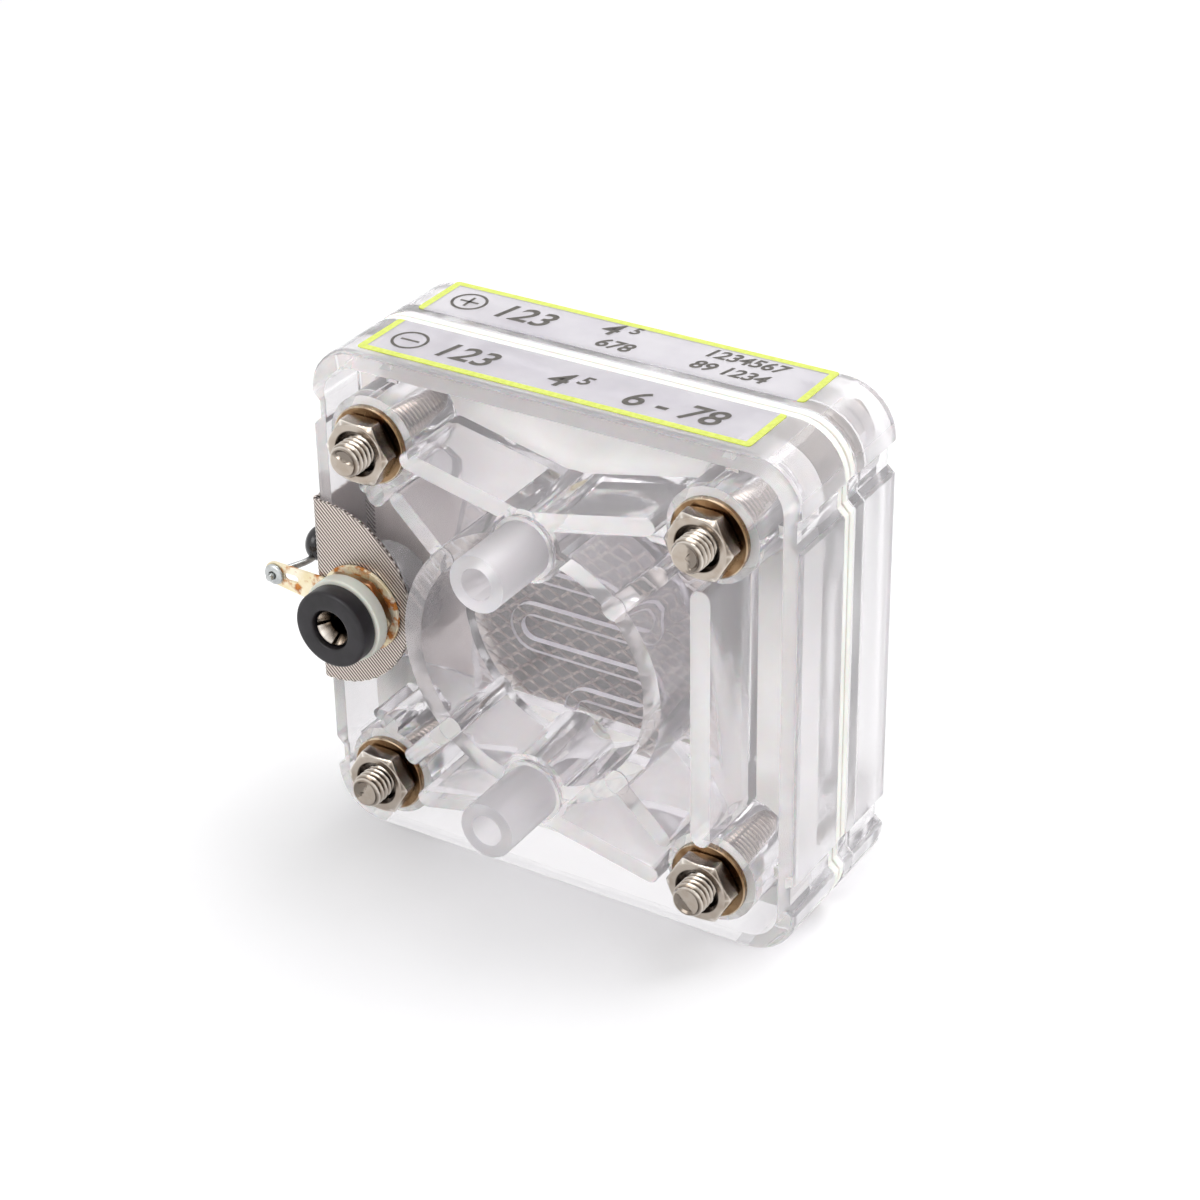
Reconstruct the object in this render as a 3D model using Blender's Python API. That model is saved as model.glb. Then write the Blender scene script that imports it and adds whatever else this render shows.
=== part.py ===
"""A single reversible fuel cell: two clear moulded halves bolted round a membrane.

Each half has a ring, ribs, bolt bosses and two hose spigots. A strip of fine mesh comes out
between the halves on the left, folds over the face of its half, and carries a small socket.
The cell stands on its flat edge: x runs to the right, y runs backwards and z runs upwards.
Each half is modelled outwards from the middle plane, which is at y = 0.
"""

import math

import bmesh
import bpy
from mathutils import Vector

MM = 0.001
FRONT = -1
REAR = 1

# Clearances
SHEET_GAP = 0.1 * MM
SEAT_GAP = 0.1 * MM
HOLE_CLEARANCE = 0.2 * MM
OVERLAP = 0.4 * MM

# Frame, the square wall round each half
RING_RADIUS = 16.1 * MM
SIDE_SPACE = 11.9 * MM
FRAME_WALL = 2.0 * MM
FRAME_HEIGHT = 6.1 * MM
CORNER_RADIUS = 6.0 * MM
EDGE_ROUND = 0.8 * MM
RECESS_LENGTH = 4.0 * MM
RECESS_DEPTH = 0.9 * MM
PLATE_THICKNESS = 3.4 * MM
SEAL_THICKNESS = 2.4 * MM
GROOVE_TO_SEAL = 1.8 * MM
GROOVE_SIZE = 0.3 * MM

# Ring, the round cup in the middle of each half
RING_WALL = 2.1 * MM
RING_PROUD = 4.0 * MM
NUB_RADIUS = 1.5 * MM
NUB_PROUD = 0.15 * MM

# Bolts, standard 4 mm hardware
BOLT_INSET = 7.2 * MM
BOLT_RADIUS = 1.95 * MM
BOLT_LENGTH = 30.0 * MM
BOLT_TIP_CHAMFER = 0.5 * MM
HEAD_HEIGHT = 2.8 * MM
HEX_ACROSS_FLATS = 7.0 * MM
NUT_HEIGHT = 2.2 * MM
WASHER_RADIUS = 4.5 * MM
WASHER_THICKNESS = 0.8 * MM
BOSS_RADIUS = 5.4 * MM
BOSS_PROUD = 1.5 * MM
COLLAR_WIDTH = 0.6 * MM
COLLAR_HEIGHT = 1.0 * MM
WEB_WIDTH = 1.4 * MM
WEB_HEIGHT = 3.6 * MM

# Ribs
RIB_WIDTH = 2.1 * MM
UPRIGHT_WIDTH = 2.35 * MM
RIB_TO_WASHER = 0.75 * MM
SPOKE_TO_BOSS = 0.3 * MM
BRACE_RISE = 2.9 * MM
BRACE_LIFT = 0.6 * MM
SHORT_RIB_SINK = 2.4 * MM
SHORT_RIB_TO_LEAF = 1.9 * MM
FIN_LENGTH = 3.0 * MM
FIN_SINK = 3.6 * MM

# Spigots, the hose tubes at the top and bottom of the ring
SPIGOT_RADIUS = 3.25 * MM
SPIGOT_BORE_RADIUS = 1.85 * MM
SPIGOT_LENGTH = 9.3 * MM
SPIGOT_STEP = 0.45 * MM
SPIGOT_STEP_HEIGHT = 0.6 * MM
SPIGOT_COLLAR_WIDTH = 1.05 * MM
FEED_WIDTH = 2.0 * MM
FEED_DEPTH = 1.0 * MM

# Serpentine ridge on the floor of the ring
RIDGE_WIDTH = 1.4 * MM
RIDGE_HEIGHT = 0.8 * MM
RIDGE_PITCH = 4.5 * MM
RIDGE_DROP = 1.2 * MM
RIDGE_REACH = 5.6 * MM
RIDGE_RETURN = 7.5 * MM

# Stack between the halves
ACTIVE_WIDTH = 30.0 * MM
ACTIVE_HEIGHT = 24.0 * MM
POCKET_MARGIN = 0.5 * MM
MEMBRANE_THICKNESS = 0.15 * MM
MEMBRANE_MARGIN = 2.5 * MM
FLOW_MESH_THICKNESS = 1.1 * MM
FLOW_DIAMOND = (5.0 * MM, 4.0 * MM)
FLOW_STRAND = 0.8 * MM

# Collector, a strip of fine mesh with a round end
COLLECTOR_THICKNESS = 0.35 * MM
COLLECTOR_HALF_WIDTH = 11.4 * MM
COLLECTOR_DROP = 0.2 * MM
LEAF_STANDOFF = 0.3 * MM
LEAF_STRAIGHT = 0.8 * MM
FOLD_ROUND = 0.5 * MM
LEAF_DIAMOND = (2.6 * MM, 2.2 * MM)
LEAF_STRAND = 0.6 * MM

# Socket on the folded end of the collector
SOCKET_TO_RING = 8.2 * MM
SOCKET_DROP = 0.8 * MM
SOCKET_BOSS_RADIUS = 5.0 * MM
CONTACT_RADIUS = 1.75 * MM
CONTACT_BORE_RADIUS = 1.15 * MM
CONTACT_BORE_DEPTH = 6.5 * MM
CONTACT_RIM_RADIUS = 2.15 * MM
CONTACT_RIM_HEIGHT = 0.8 * MM
CONTACT_SPLIT = 0.35 * MM
CONTACT_SPLIT_DEPTH = 2.4 * MM
THREAD_DEPTH = 3.4 * MM
LUG_RADIUS = 5.2 * MM
LUG_THICKNESS = 0.4 * MM
TONGUE_LENGTH = 12.9 * MM
TONGUE_ROOT_WIDTH = 4.0 * MM
TONGUE_TIP_RADIUS = 1.4 * MM
EYE_WIDTH = 0.9 * MM
EYE_LENGTH = 2.0 * MM
EYE_TO_LEAD = 1.2 * MM
SOCKET_HEX_ACROSS_FLATS = 8.6 * MM
SOCKET_HEX_HEIGHT = 1.4 * MM
INSULATOR_RADIUS = 5.0 * MM
INSULATOR_THICKNESS = 1.7 * MM
SOCKET_HEAD_RADIUS = 4.6 * MM
SOCKET_HEAD_HEIGHT = 2.25 * MM
SOCKET_HEAD_ROUND = 0.35 * MM
SOCKET_OPENING_RADIUS = 2.35 * MM
SOCKET_FLOOR = 0.8 * MM
SOLDER_RADIUS = 1.3 * MM
SOLDER_HEIGHT = 0.55 * MM

# Bead-shaped part wired across the two lugs
BEAD_RADIUS = 2.1 * MM
BEAD_HALF_THICKNESS = 1.5 * MM
BEAD_FORWARD = 5.2 * MM
BEAD_OFF_SIDE = 4.3 * MM
BEAD_RISE = 1.6 * MM
LEAD_RADIUS = 0.4 * MM
LEAD_END = 0.7 * MM
LEAD_RISE = 0.4 * MM
LEAD_SOCKET_DEPTH = 0.7 * MM

# Labels on the top edge
LABEL_THICKNESS = 0.12 * MM
LABEL_LENGTH = 47.7 * MM
LABEL_WIDTH = 8.0 * MM
LABEL_SHIFT = 0.45 * MM
LABEL_TO_EDGE = {FRONT: 1.3 * MM, REAR: 0.7 * MM}

# Sides of round shapes
FINE = 60
ROUND = 28
SMALL = 20
CORNER_STEPS = 8
EDGE_STEPS = 3

# Depths of a half, counted outwards from the middle plane
INNER_FACE = SEAL_THICKNESS / 2
FLOOR = INNER_FACE + PLATE_THICKNESS
FRAME_FRONT = FLOOR + FRAME_HEIGHT
BOSS_FRONT = FRAME_FRONT + BOSS_PROUD
RING_FRONT = FRAME_FRONT + RING_PROUD
NUB_FRONT = RING_FRONT + NUB_PROUD
SPIGOT_FRONT = RING_FRONT + SPIGOT_LENGTH
ROOT = FLOOR - OVERLAP

# Depths of the stack
MEMBRANE_FACE = MEMBRANE_THICKNESS / 2
GASKET_BACK = MEMBRANE_FACE + SHEET_GAP
GASKET_FRONT = INNER_FACE - SHEET_GAP
COLLECTOR_BACK = INNER_FACE + SHEET_GAP / 2
COLLECTOR_FRONT = COLLECTOR_BACK + COLLECTOR_THICKNESS
FLOW_MESH_BACK = COLLECTOR_FRONT + SHEET_GAP
FLOW_MESH_FRONT = FLOW_MESH_BACK + FLOW_MESH_THICKNESS
POCKET_LEVEL = FLOW_MESH_FRONT + SHEET_GAP

# Depths of the socket
LEAF_BACK = FRAME_FRONT + LEAF_STANDOFF
LEAF_FRONT = LEAF_BACK + COLLECTOR_THICKNESS
SOCKET_BOSS_FRONT = LEAF_BACK - SEAT_GAP
CONTACT_BACK = SOCKET_BOSS_FRONT - THREAD_DEPTH
LUG_BACK = LEAF_FRONT + SEAT_GAP
LUG_FRONT = LUG_BACK + LUG_THICKNESS
SOCKET_HEX_BACK = LUG_FRONT + SEAT_GAP
SOCKET_HEX_FRONT = SOCKET_HEX_BACK + SOCKET_HEX_HEIGHT
INSULATOR_BACK = SOCKET_HEX_FRONT + SEAT_GAP
INSULATOR_FRONT = INSULATOR_BACK + INSULATOR_THICKNESS
HEAD_BACK = INSULATOR_FRONT + SEAT_GAP
HEAD_FRONT = HEAD_BACK + SOCKET_HEAD_HEIGHT
RIM_BACK = HEAD_BACK + SOCKET_FLOOR + SEAT_GAP
RIM_FRONT = RIM_BACK + CONTACT_RIM_HEIGHT
LEAD_FRONT = LUG_FRONT + SOLDER_HEIGHT + LEAD_END

# Places across the face, from the middle of the ring
INNER_HALF = RING_RADIUS + SIDE_SPACE
BODY_HALF = INNER_HALF + FRAME_WALL
BOLT_PLACE = INNER_HALF - BOLT_INSET
RING_MIDDLE = RING_RADIUS - RING_WALL / 2
DIAGONAL = math.sqrt(0.5)
BOLT_HOLE_RADIUS = BOLT_RADIUS + HOLE_CLEARANCE
CONTACT_HOLE_RADIUS = CONTACT_RADIUS + SEAT_GAP
UPRIGHT_END = BOLT_PLACE - WASHER_RADIUS - RIB_TO_WASHER
STRIP_LOW = -COLLECTOR_DROP - COLLECTOR_HALF_WIDTH
STRIP_HIGH = -COLLECTOR_DROP + COLLECTOR_HALF_WIDTH
STRIP_SIDE = -BODY_HALF - SHEET_GAP - COLLECTOR_THICKNESS / 2
LEAF_CENTRE = (-BODY_HALF + LEAF_STRAIGHT, -COLLECTOR_DROP)
SOCKET_PLACE = (-RING_RADIUS - SOCKET_TO_RING, -SOCKET_DROP)
TONGUE_TIP = (SOCKET_PLACE[0] - TONGUE_LENGTH + TONGUE_TIP_RADIUS, LEAD_RISE)
BEAD_PLACE = (-BODY_HALF - BEAD_OFF_SIDE, BEAD_RISE)
HALF_LENGTH = (BODY_HALF - TONGUE_TIP[0] + TONGUE_TIP_RADIUS) / 2

# The origin lies under the middle of the whole cell, so the ring is a little to its right
RING_X = HALF_LENGTH - BODY_HALF
RING_HEIGHT = BODY_HALF


def clear_scene():
    for item in list(bpy.data.objects):
        bpy.data.objects.remove(item, do_unlink=True)


def add_object(name, shape):
    """Makes an object of a closed shape, with its faces pointing out."""
    bmesh.ops.recalc_face_normals(shape, faces=shape.faces)
    mesh = bpy.data.meshes.new(name)
    shape.to_mesh(mesh)
    shape.free()
    item = bpy.data.objects.new(name, mesh)
    bpy.context.scene.collection.objects.link(item)
    return item


def add_prism(shape, points, shift):
    """Adds to the shape the solid between a flat outline and the same outline moved by shift."""
    face = shape.faces.new([shape.verts.new(point) for point in points])
    grown = bmesh.ops.extrude_face_region(shape, geom=[face])["geom"]
    moved = [part for part in grown if isinstance(part, bmesh.types.BMVert)]
    bmesh.ops.translate(shape, verts=moved, vec=shift)


def prism(name, outline, near, far):
    """A solid with an (x, z) outline, between two depths along y."""
    shape = bmesh.new()
    add_prism(shape, [(x, near, z) for x, z in outline], (0, far - near, 0))
    return add_object(name, shape)


def upright_prism(name, outline, low, high):
    """A solid with an (x, y) outline, between two heights."""
    shape = bmesh.new()
    add_prism(shape, [(x, y, low) for x, y in outline], (0, 0, high - low))
    return add_object(name, shape)


def loft(name, levels):
    """A solid through outlines with the same number of points, each at its own depth."""
    shape = bmesh.new()
    rings = [[shape.verts.new((x, depth, z)) for x, z in outline] for outline, depth in levels]
    for ring, following in zip(rings, rings[1:]):
        for i in range(len(ring)):
            shape.faces.new((ring[i - 1], ring[i], following[i], following[i - 1]))
    shape.faces.new(rings[0])
    shape.faces.new(rings[-1])
    return add_object(name, shape)


def turned(name, profile, centre=(0.0, 0.0), steps=ROUND):
    """A solid of revolution about an axis along y, from a list of (radius, depth).

    A profile that starts on the axis also ends there. Any other is closed to a loop."""
    shape = bmesh.new()
    points = [shape.verts.new((radius, depth, 0)) for radius, depth in profile]
    edges = [shape.edges.new(pair) for pair in zip(points, points[1:])]
    if profile[0][0] > 0:
        edges.append(shape.edges.new((points[-1], points[0])))
    bmesh.ops.spin(
        shape, geom=points + edges, cent=(0, 0, 0), axis=(0, 1, 0), angle=math.tau, steps=steps
    )
    bmesh.ops.remove_doubles(shape, verts=shape.verts, dist=1e-7)
    bmesh.ops.translate(shape, verts=shape.verts, vec=(centre[0], 0, centre[1]))
    return add_object(name, shape)


def post(name, radius, centre, near, far, steps=ROUND):
    """A plain round post along y."""
    return turned(name, [(0, near), (radius, near), (radius, far), (0, far)], centre, steps)


def tube(name, path, radius, steps=12):
    """A round wire along a path that runs mostly along y."""
    points = [Vector(point) for point in path]
    shape = bmesh.new()
    rings = []
    for i, point in enumerate(points):
        along = (points[min(i + 1, len(points) - 1)] - points[max(i - 1, 0)]).normalized()
        across = along.cross(Vector((0, 0, 1))).normalized()
        up = across.cross(along)
        turns = [math.tau * k / steps for k in range(steps)]
        ring = [point + radius * (math.cos(t) * across + math.sin(t) * up) for t in turns]
        rings.append([shape.verts.new(place) for place in ring])
    for ring, following in zip(rings, rings[1:]):
        for i in range(steps):
            shape.faces.new((ring[i - 1], ring[i], following[i], following[i - 1]))
    shape.faces.new(rings[0])
    shape.faces.new(rings[-1])
    return add_object(name, shape)


def arc(centre, radius, start, end, steps):
    """Points along an arc, with its angles in degrees."""
    angles = [math.radians(start + (end - start) * i / steps) for i in range(steps + 1)]
    return [(centre[0] + radius * math.cos(a), centre[1] + radius * math.sin(a)) for a in angles]


def stadium(start, end, width, steps=8):
    """The outline of a bar with round ends, whose tips lie at start and end."""
    along = (Vector(end) - Vector(start)).normalized()
    first = Vector(start) + along * width / 2
    last = Vector(end) - along * width / 2
    turn = math.degrees(math.atan2(along.y, along.x))
    right = arc(last, width / 2, turn - 90, turn + 90, steps)
    left = arc(first, width / 2, turn + 90, turn + 270, steps)
    return right + left


def ribbon(path, width):
    """The outline of a band of even width along a path."""
    points = [Vector(point) for point in path]
    left = []
    right = []
    for i, point in enumerate(points):
        before = (point - points[i - 1]).normalized() if i else None
        after = (points[i + 1] - point).normalized() if i + 1 < len(points) else None
        along = ((before or after) + (after or before)).normalized()
        across = Vector((-along.y, along.x))
        reach = width / 2 / max(along.dot(before or after), 0.5)
        left.append(tuple(point + across * reach))
        right.append(tuple(point - across * reach))
    return left + right[::-1]


def hexagon(across_flats):
    return arc((0, 0), across_flats / math.sqrt(3), 0, 300, 5)


def rectangle(left, right, bottom, top):
    return [(left, bottom), (right, bottom), (right, top), (left, top)]


def rounded_square(half, radius):
    """The outline of a square with round corners, centred on the ring."""
    inner = half - radius
    places = [(inner, inner, 0), (-inner, inner, 90), (-inner, -inner, 180), (inner, -inner, 270)]
    points = []
    for x, z, start in places:
        points += arc((x, z), radius, start, start + 90, CORNER_STEPS)
    return points


def body_outline(inset=0.0):
    """The body's outline: round corners and, on each side, a pad between two shallow recesses."""
    corner = BODY_HALF - CORNER_RADIUS
    half = BODY_HALF - inset
    low = half - RECESS_DEPTH
    side = [
        (low, corner - RECESS_DEPTH),
        (low, corner - RECESS_LENGTH + RECESS_DEPTH),
        (half, corner - RECESS_LENGTH),
    ]
    points = arc((corner, corner), CORNER_RADIUS - inset, 90, 0, CORNER_STEPS)
    points += side + [(x, -z) for x, z in reversed(side)]
    points += arc((corner, -corner), CORNER_RADIUS - inset, 0, -90, CORNER_STEPS)
    return points + [(-x, z) for x, z in reversed(points)]


def combine(base, others, operation):
    """Joins other solids to the base, cuts them from it or keeps what is common, and removes them."""
    group = bpy.data.collections.new("operands")
    for other in others:
        group.objects.link(other)
    modifier = base.modifiers.new(operation.lower(), "BOOLEAN")
    modifier.operation = operation
    modifier.operand_type = "COLLECTION"
    modifier.collection = group
    modifier.solver = "EXACT"
    graph = bpy.context.evaluated_depsgraph_get()
    mesh = bpy.data.meshes.new_from_object(base.evaluated_get(graph))
    base.modifiers.clear()
    base.data = mesh
    for other in others:
        bpy.data.objects.remove(other, do_unlink=True)
    bpy.data.collections.remove(group)
    return base


def corners_of(place):
    return [(place, place), (-place, place), (-place, -place), (place, -place)]


def serpentine_path():
    """The middle line of the floor ridge: four bars joined by round turns."""
    turn = RIDGE_PITCH / 2
    rows = [turn * k - RIDGE_DROP for k in (3, 1, -1, -3)]
    path = [(-RIDGE_REACH, rows[0])]
    path += arc((RIDGE_RETURN, rows[0] - turn), turn, 90, -90, 10)
    path += arc((-RIDGE_REACH, rows[1] - turn), turn, 90, 270, 10)
    path += arc((RIDGE_RETURN, rows[2] - turn), turn, 90, -90, 10)
    path += arc((turn / 2, rows[3] - turn), turn, 90, 180, 6)
    return path


def ring_parts(side):
    """The ring, a nub where each spoke meets it, and the ridge on its floor."""
    inner = RING_RADIUS - RING_WALL
    profile = [
        (inner, side * ROOT),
        (RING_RADIUS, side * ROOT),
        (RING_RADIUS, side * RING_FRONT),
        (inner, side * RING_FRONT),
    ]
    parts = [turned("ring", profile, steps=FINE)]
    for place in corners_of(RING_MIDDLE * DIAGONAL):
        parts.append(post("nub", NUB_RADIUS, place, side * ROOT, side * NUB_FRONT, SMALL))
    ridge = ribbon(serpentine_path(), RIDGE_WIDTH)
    parts.append(prism("ridge", ridge, side * ROOT, side * (FLOOR + RIDGE_HEIGHT)))
    return parts


def slanting_ribs(side):
    """The spokes from the ring towards the bosses, and the braces from the spigots."""
    parts = []
    spoke_start = RING_MIDDLE * DIAGONAL
    spoke_end = BOLT_PLACE - (BOSS_RADIUS + SPOKE_TO_BOSS) * DIAGONAL
    for x, z in corners_of(1):
        spoke = stadium((x * spoke_start, z * spoke_start), (x * spoke_end, z * spoke_end), RIB_WIDTH)
        parts.append(prism("spoke", spoke, side * ROOT, side * RING_FRONT))
        foot = (0, z * (RING_MIDDLE + BRACE_RISE))
        brace = stadium(foot, (x * UPRIGHT_END, z * (BOLT_PLACE + BRACE_LIFT)), RIB_WIDTH)
        parts.append(prism("brace", brace, side * ROOT, side * RING_FRONT))
    return parts


def upright_ribs(side):
    """A long rib on the right, and a short lower one with a fin on each side of the leaf."""
    end = UPRIGHT_END
    long_rib = stadium((BOLT_PLACE, -end), (BOLT_PLACE, end), UPRIGHT_WIDTH)
    parts = [prism("long_rib", long_rib, side * ROOT, side * RING_FRONT)]
    short_front = side * (RING_FRONT - SHORT_RIB_SINK)
    fin_front = side * (RING_FRONT - FIN_SINK)
    for sign, edge in ((1, STRIP_HIGH), (-1, STRIP_LOW)):
        start = edge + sign * SHORT_RIB_TO_LEAF
        short = stadium((-BOLT_PLACE, start), (-BOLT_PLACE, sign * (end + OVERLAP)), UPRIGHT_WIDTH)
        parts.append(prism("short_rib", short, side * ROOT, short_front))
        level = start + sign * UPRIGHT_WIDTH / 2
        fin = stadium((-BOLT_PLACE - FIN_LENGTH, level), (-BOLT_PLACE + OVERLAP, level), WEB_WIDTH)
        parts.append(prism("fin", fin, side * ROOT, fin_front))
    return parts


def spigot_parts(side):
    """The two hose spigots, each with a step ring and a collar at its foot."""
    step = SPIGOT_RADIUS + SPIGOT_STEP
    collar = SPIGOT_RADIUS + SPIGOT_COLLAR_WIDTH
    profile = [
        (0, side * ROOT),
        (collar, side * ROOT),
        (collar, side * RING_FRONT),
        (step, side * RING_FRONT),
        (step, side * (RING_FRONT + SPIGOT_STEP_HEIGHT)),
        (SPIGOT_RADIUS, side * (RING_FRONT + SPIGOT_STEP_HEIGHT)),
        (SPIGOT_RADIUS, side * SPIGOT_FRONT),
        (0, side * SPIGOT_FRONT),
    ]
    return [turned("spigot", profile, (0, z)) for z in (RING_MIDDLE, -RING_MIDDLE)]


def boss_parts(side):
    """A column round each bolt, with a collar at its root and a web to each near wall."""
    profile = [
        (0, side * ROOT),
        (BOSS_RADIUS + COLLAR_WIDTH, side * ROOT),
        (BOSS_RADIUS + COLLAR_WIDTH, side * FLOOR),
        (BOSS_RADIUS, side * (FLOOR + COLLAR_HEIGHT)),
        (BOSS_RADIUS, side * BOSS_FRONT),
        (0, side * BOSS_FRONT),
    ]
    reach = INNER_HALF + OVERLAP
    web_front = side * (FLOOR + WEB_HEIGHT)
    parts = []
    for x, z in corners_of(1):
        place = (x * BOLT_PLACE, z * BOLT_PLACE)
        parts.append(turned("boss", profile, place))
        for end in ((x * reach, place[1]), (place[0], z * reach)):
            parts.append(prism("web", ribbon([place, end], WEB_WIDTH), side * ROOT, web_front))
    return parts


def socket_boss(side):
    """A column behind the leaf, which the socket's contact screws into."""
    far = side * SOCKET_BOSS_FRONT
    return post("socket_boss", SOCKET_BOSS_RADIUS, SOCKET_PLACE, side * ROOT, far)


def stack_cutters(side):
    """The room in a half for the flow mesh, the collector and the gas feed."""
    near = side * (INNER_FACE - OVERLAP)
    half_width = ACTIVE_WIDTH / 2 + POCKET_MARGIN
    half_height = ACTIVE_HEIGHT / 2 + POCKET_MARGIN
    pocket = rectangle(-half_width, half_width, -half_height, half_height)
    low = STRIP_LOW - HOLE_CLEARANCE
    high = STRIP_HIGH + HOLE_CLEARANCE
    run = rectangle(-BODY_HALF - OVERLAP, half_width, low, high)
    parts = [
        prism("pocket", pocket, near, side * POCKET_LEVEL),
        prism("run", run, near, side * (COLLECTOR_FRONT + SHEET_GAP)),
    ]
    for sign in (1, -1):
        feed_end = sign * (half_height - OVERLAP)
        feed = ribbon([(0, sign * RING_MIDDLE), (0, feed_end)], FEED_WIDTH)
        parts.append(prism("feed", feed, near, side * (INNER_FACE + FEED_DEPTH)))
    return parts


def hole_cutters(side):
    """The holes in a half for the bolts, the hoses and the contact."""
    near = side * (INNER_FACE - OVERLAP)
    parts = []
    for place in corners_of(BOLT_PLACE):
        far = side * (BOSS_FRONT + OVERLAP)
        parts.append(post("bolt_hole", BOLT_HOLE_RADIUS, place, near, far, SMALL))
    for z in (RING_MIDDLE, -RING_MIDDLE):
        far = side * (SPIGOT_FRONT + OVERLAP)
        parts.append(post("bore", SPIGOT_BORE_RADIUS, (0, z), near, far, SMALL))
    near = side * (CONTACT_BACK - SEAT_GAP)
    far = side * (SOCKET_BOSS_FRONT + OVERLAP)
    parts.append(post("thread_hole", CONTACT_HOLE_RADIUS, SOCKET_PLACE, near, far, SMALL))
    return parts


def groove_cutter(side):
    """A shallow groove round the outside of a half, just clear of the seal."""
    near = side * (INNER_FACE + GROOVE_TO_SEAL)
    far = near + side * GROOVE_SIZE
    past = side * OVERLAP
    outer = prism("groove", rounded_square(BODY_HALF + OVERLAP, CORNER_RADIUS), near, far)
    inner = prism("groove_inner", body_outline(GROOVE_SIZE), near - past, far + past)
    return combine(outer, [inner], "DIFFERENCE")


def make_housing(name, side):
    """One clear half: a plate with a wall round it, and the ring, ribs, bosses and spigots."""
    levels = [(body_outline(), side * INNER_FACE)]
    for k in range(EDGE_STEPS + 1):
        turn = math.pi / 2 * k / EDGE_STEPS
        inset = EDGE_ROUND * (1 - math.cos(turn))
        depth = FRAME_FRONT - EDGE_ROUND * (1 - math.sin(turn))
        levels.append((body_outline(inset), side * depth))
    body = loft(name, levels)
    inside = rounded_square(INNER_HALF, CORNER_RADIUS - FRAME_WALL)
    hollow = prism("hollow", inside, side * FLOOR, side * (FRAME_FRONT + OVERLAP))
    combine(body, [hollow], "DIFFERENCE")
    added = ring_parts(side) + slanting_ribs(side) + upright_ribs(side)
    added += spigot_parts(side) + boss_parts(side) + [socket_boss(side)]
    combine(body, added, "UNION")
    cutters = stack_cutters(side) + hole_cutters(side)
    if side == REAR:
        cutters.append(groove_cutter(side))
    return combine(body, cutters, "DIFFERENCE")


def make_gasket(name, side):
    """A rubber frame between the membrane and one half, with a window for the electrode."""
    near = side * (GASKET_BACK - OVERLAP)
    far = side * (GASKET_FRONT + OVERLAP)
    gasket = prism(name, body_outline(SHEET_GAP), side * GASKET_BACK, side * GASKET_FRONT)
    half_width = ACTIVE_WIDTH / 2 + POCKET_MARGIN
    half_height = ACTIVE_HEIGHT / 2 + POCKET_MARGIN
    window = rectangle(-half_width, half_width, -half_height, half_height)
    cutters = [prism("window", window, near, far)]
    for place in corners_of(BOLT_PLACE):
        cutters.append(post("hole", BOLT_HOLE_RADIUS, place, near, far, SMALL))
    for z in (RING_MIDDLE, -RING_MIDDLE):
        cutters.append(post("port", SPIGOT_BORE_RADIUS, (0, z), near, far, SMALL))
    return combine(gasket, cutters, "DIFFERENCE")


def make_sheet(name, margin, near, far):
    """A plain rectangular sheet of the stack, larger than the active area by the margin."""
    half_width = ACTIVE_WIDTH / 2 + margin
    half_height = ACTIVE_HEIGHT / 2 + margin
    return prism(name, rectangle(-half_width, half_width, -half_height, half_height), near, far)


def diamonds(size, strand, near, far, centre, spans, keep):
    """Diamond-shaped cutters on a staggered grid, where keep says that all its corners fit."""
    length, height = size
    columns = math.ceil(spans[0] / length)
    rows = math.ceil(2 * spans[1] / height)
    half_length = (length - 1.2 * strand) / 2
    half_height = (height - 1.2 * strand) / 2
    shape = bmesh.new()
    for row in range(-rows, rows + 1):
        for column in range(-columns, columns + 1):
            x = centre[0] + (column + (row % 2) / 2) * length
            z = centre[1] + row * height / 2
            points = [
                (x - half_length, z),
                (x, z - half_height),
                (x + half_length, z),
                (x, z + half_height),
            ]
            if all(keep(*point) for point in points):
                add_prism(shape, [(px, near, pz) for px, pz in points], (0, far - near, 0))
    return add_object("diamonds", shape)


def make_flow_mesh(name, side):
    """A sheet of expanded metal that spreads the gas and carries the current."""
    sheet = make_sheet(name, 0.0, side * FLOW_MESH_BACK, side * FLOW_MESH_FRONT)
    spans = (ACTIVE_WIDTH / 2, ACTIVE_HEIGHT / 2)

    def inside(x, z):
        return abs(x) < spans[0] - FLOW_STRAND / 2 and abs(z) < spans[1] - FLOW_STRAND / 2

    near = side * (FLOW_MESH_BACK - OVERLAP)
    far = side * (FLOW_MESH_FRONT + OVERLAP)
    cutter = diamonds(FLOW_DIAMOND, FLOW_STRAND, near, far, (0, 0), spans, inside)
    return combine(sheet, [cutter], "DIFFERENCE")


def strip_path(side):
    """The middle line of a collector in (x, y): through the stack, forward, and over the face."""
    inner = (COLLECTOR_BACK + COLLECTOR_FRONT) / 2
    outer = (LEAF_BACK + LEAF_FRONT) / 2
    bend = FOLD_ROUND
    path = [(ACTIVE_WIDTH / 2, inner)]
    path += arc((STRIP_SIDE + bend, inner + bend), bend, 270, 180, 3)
    path += arc((STRIP_SIDE + bend, outer - bend), bend, 180, 90, 3)
    path += [(LEAF_CENTRE[0] + COLLECTOR_HALF_WIDTH + OVERLAP, outer)]
    return [(x, side * y) for x, y in path]


def leaf_trim(near, far):
    """What lies beyond the round end of the leaf."""
    x, z = LEAF_CENTRE
    reach = COLLECTOR_HALF_WIDTH + 3 * OVERLAP
    outline = arc(LEAF_CENTRE, COLLECTOR_HALF_WIDTH, 90, -90, ROUND)
    outline += [(x, z - reach), (x + reach, z - reach), (x + reach, z + reach), (x, z + reach)]
    return prism("trim", outline, near, far)


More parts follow.
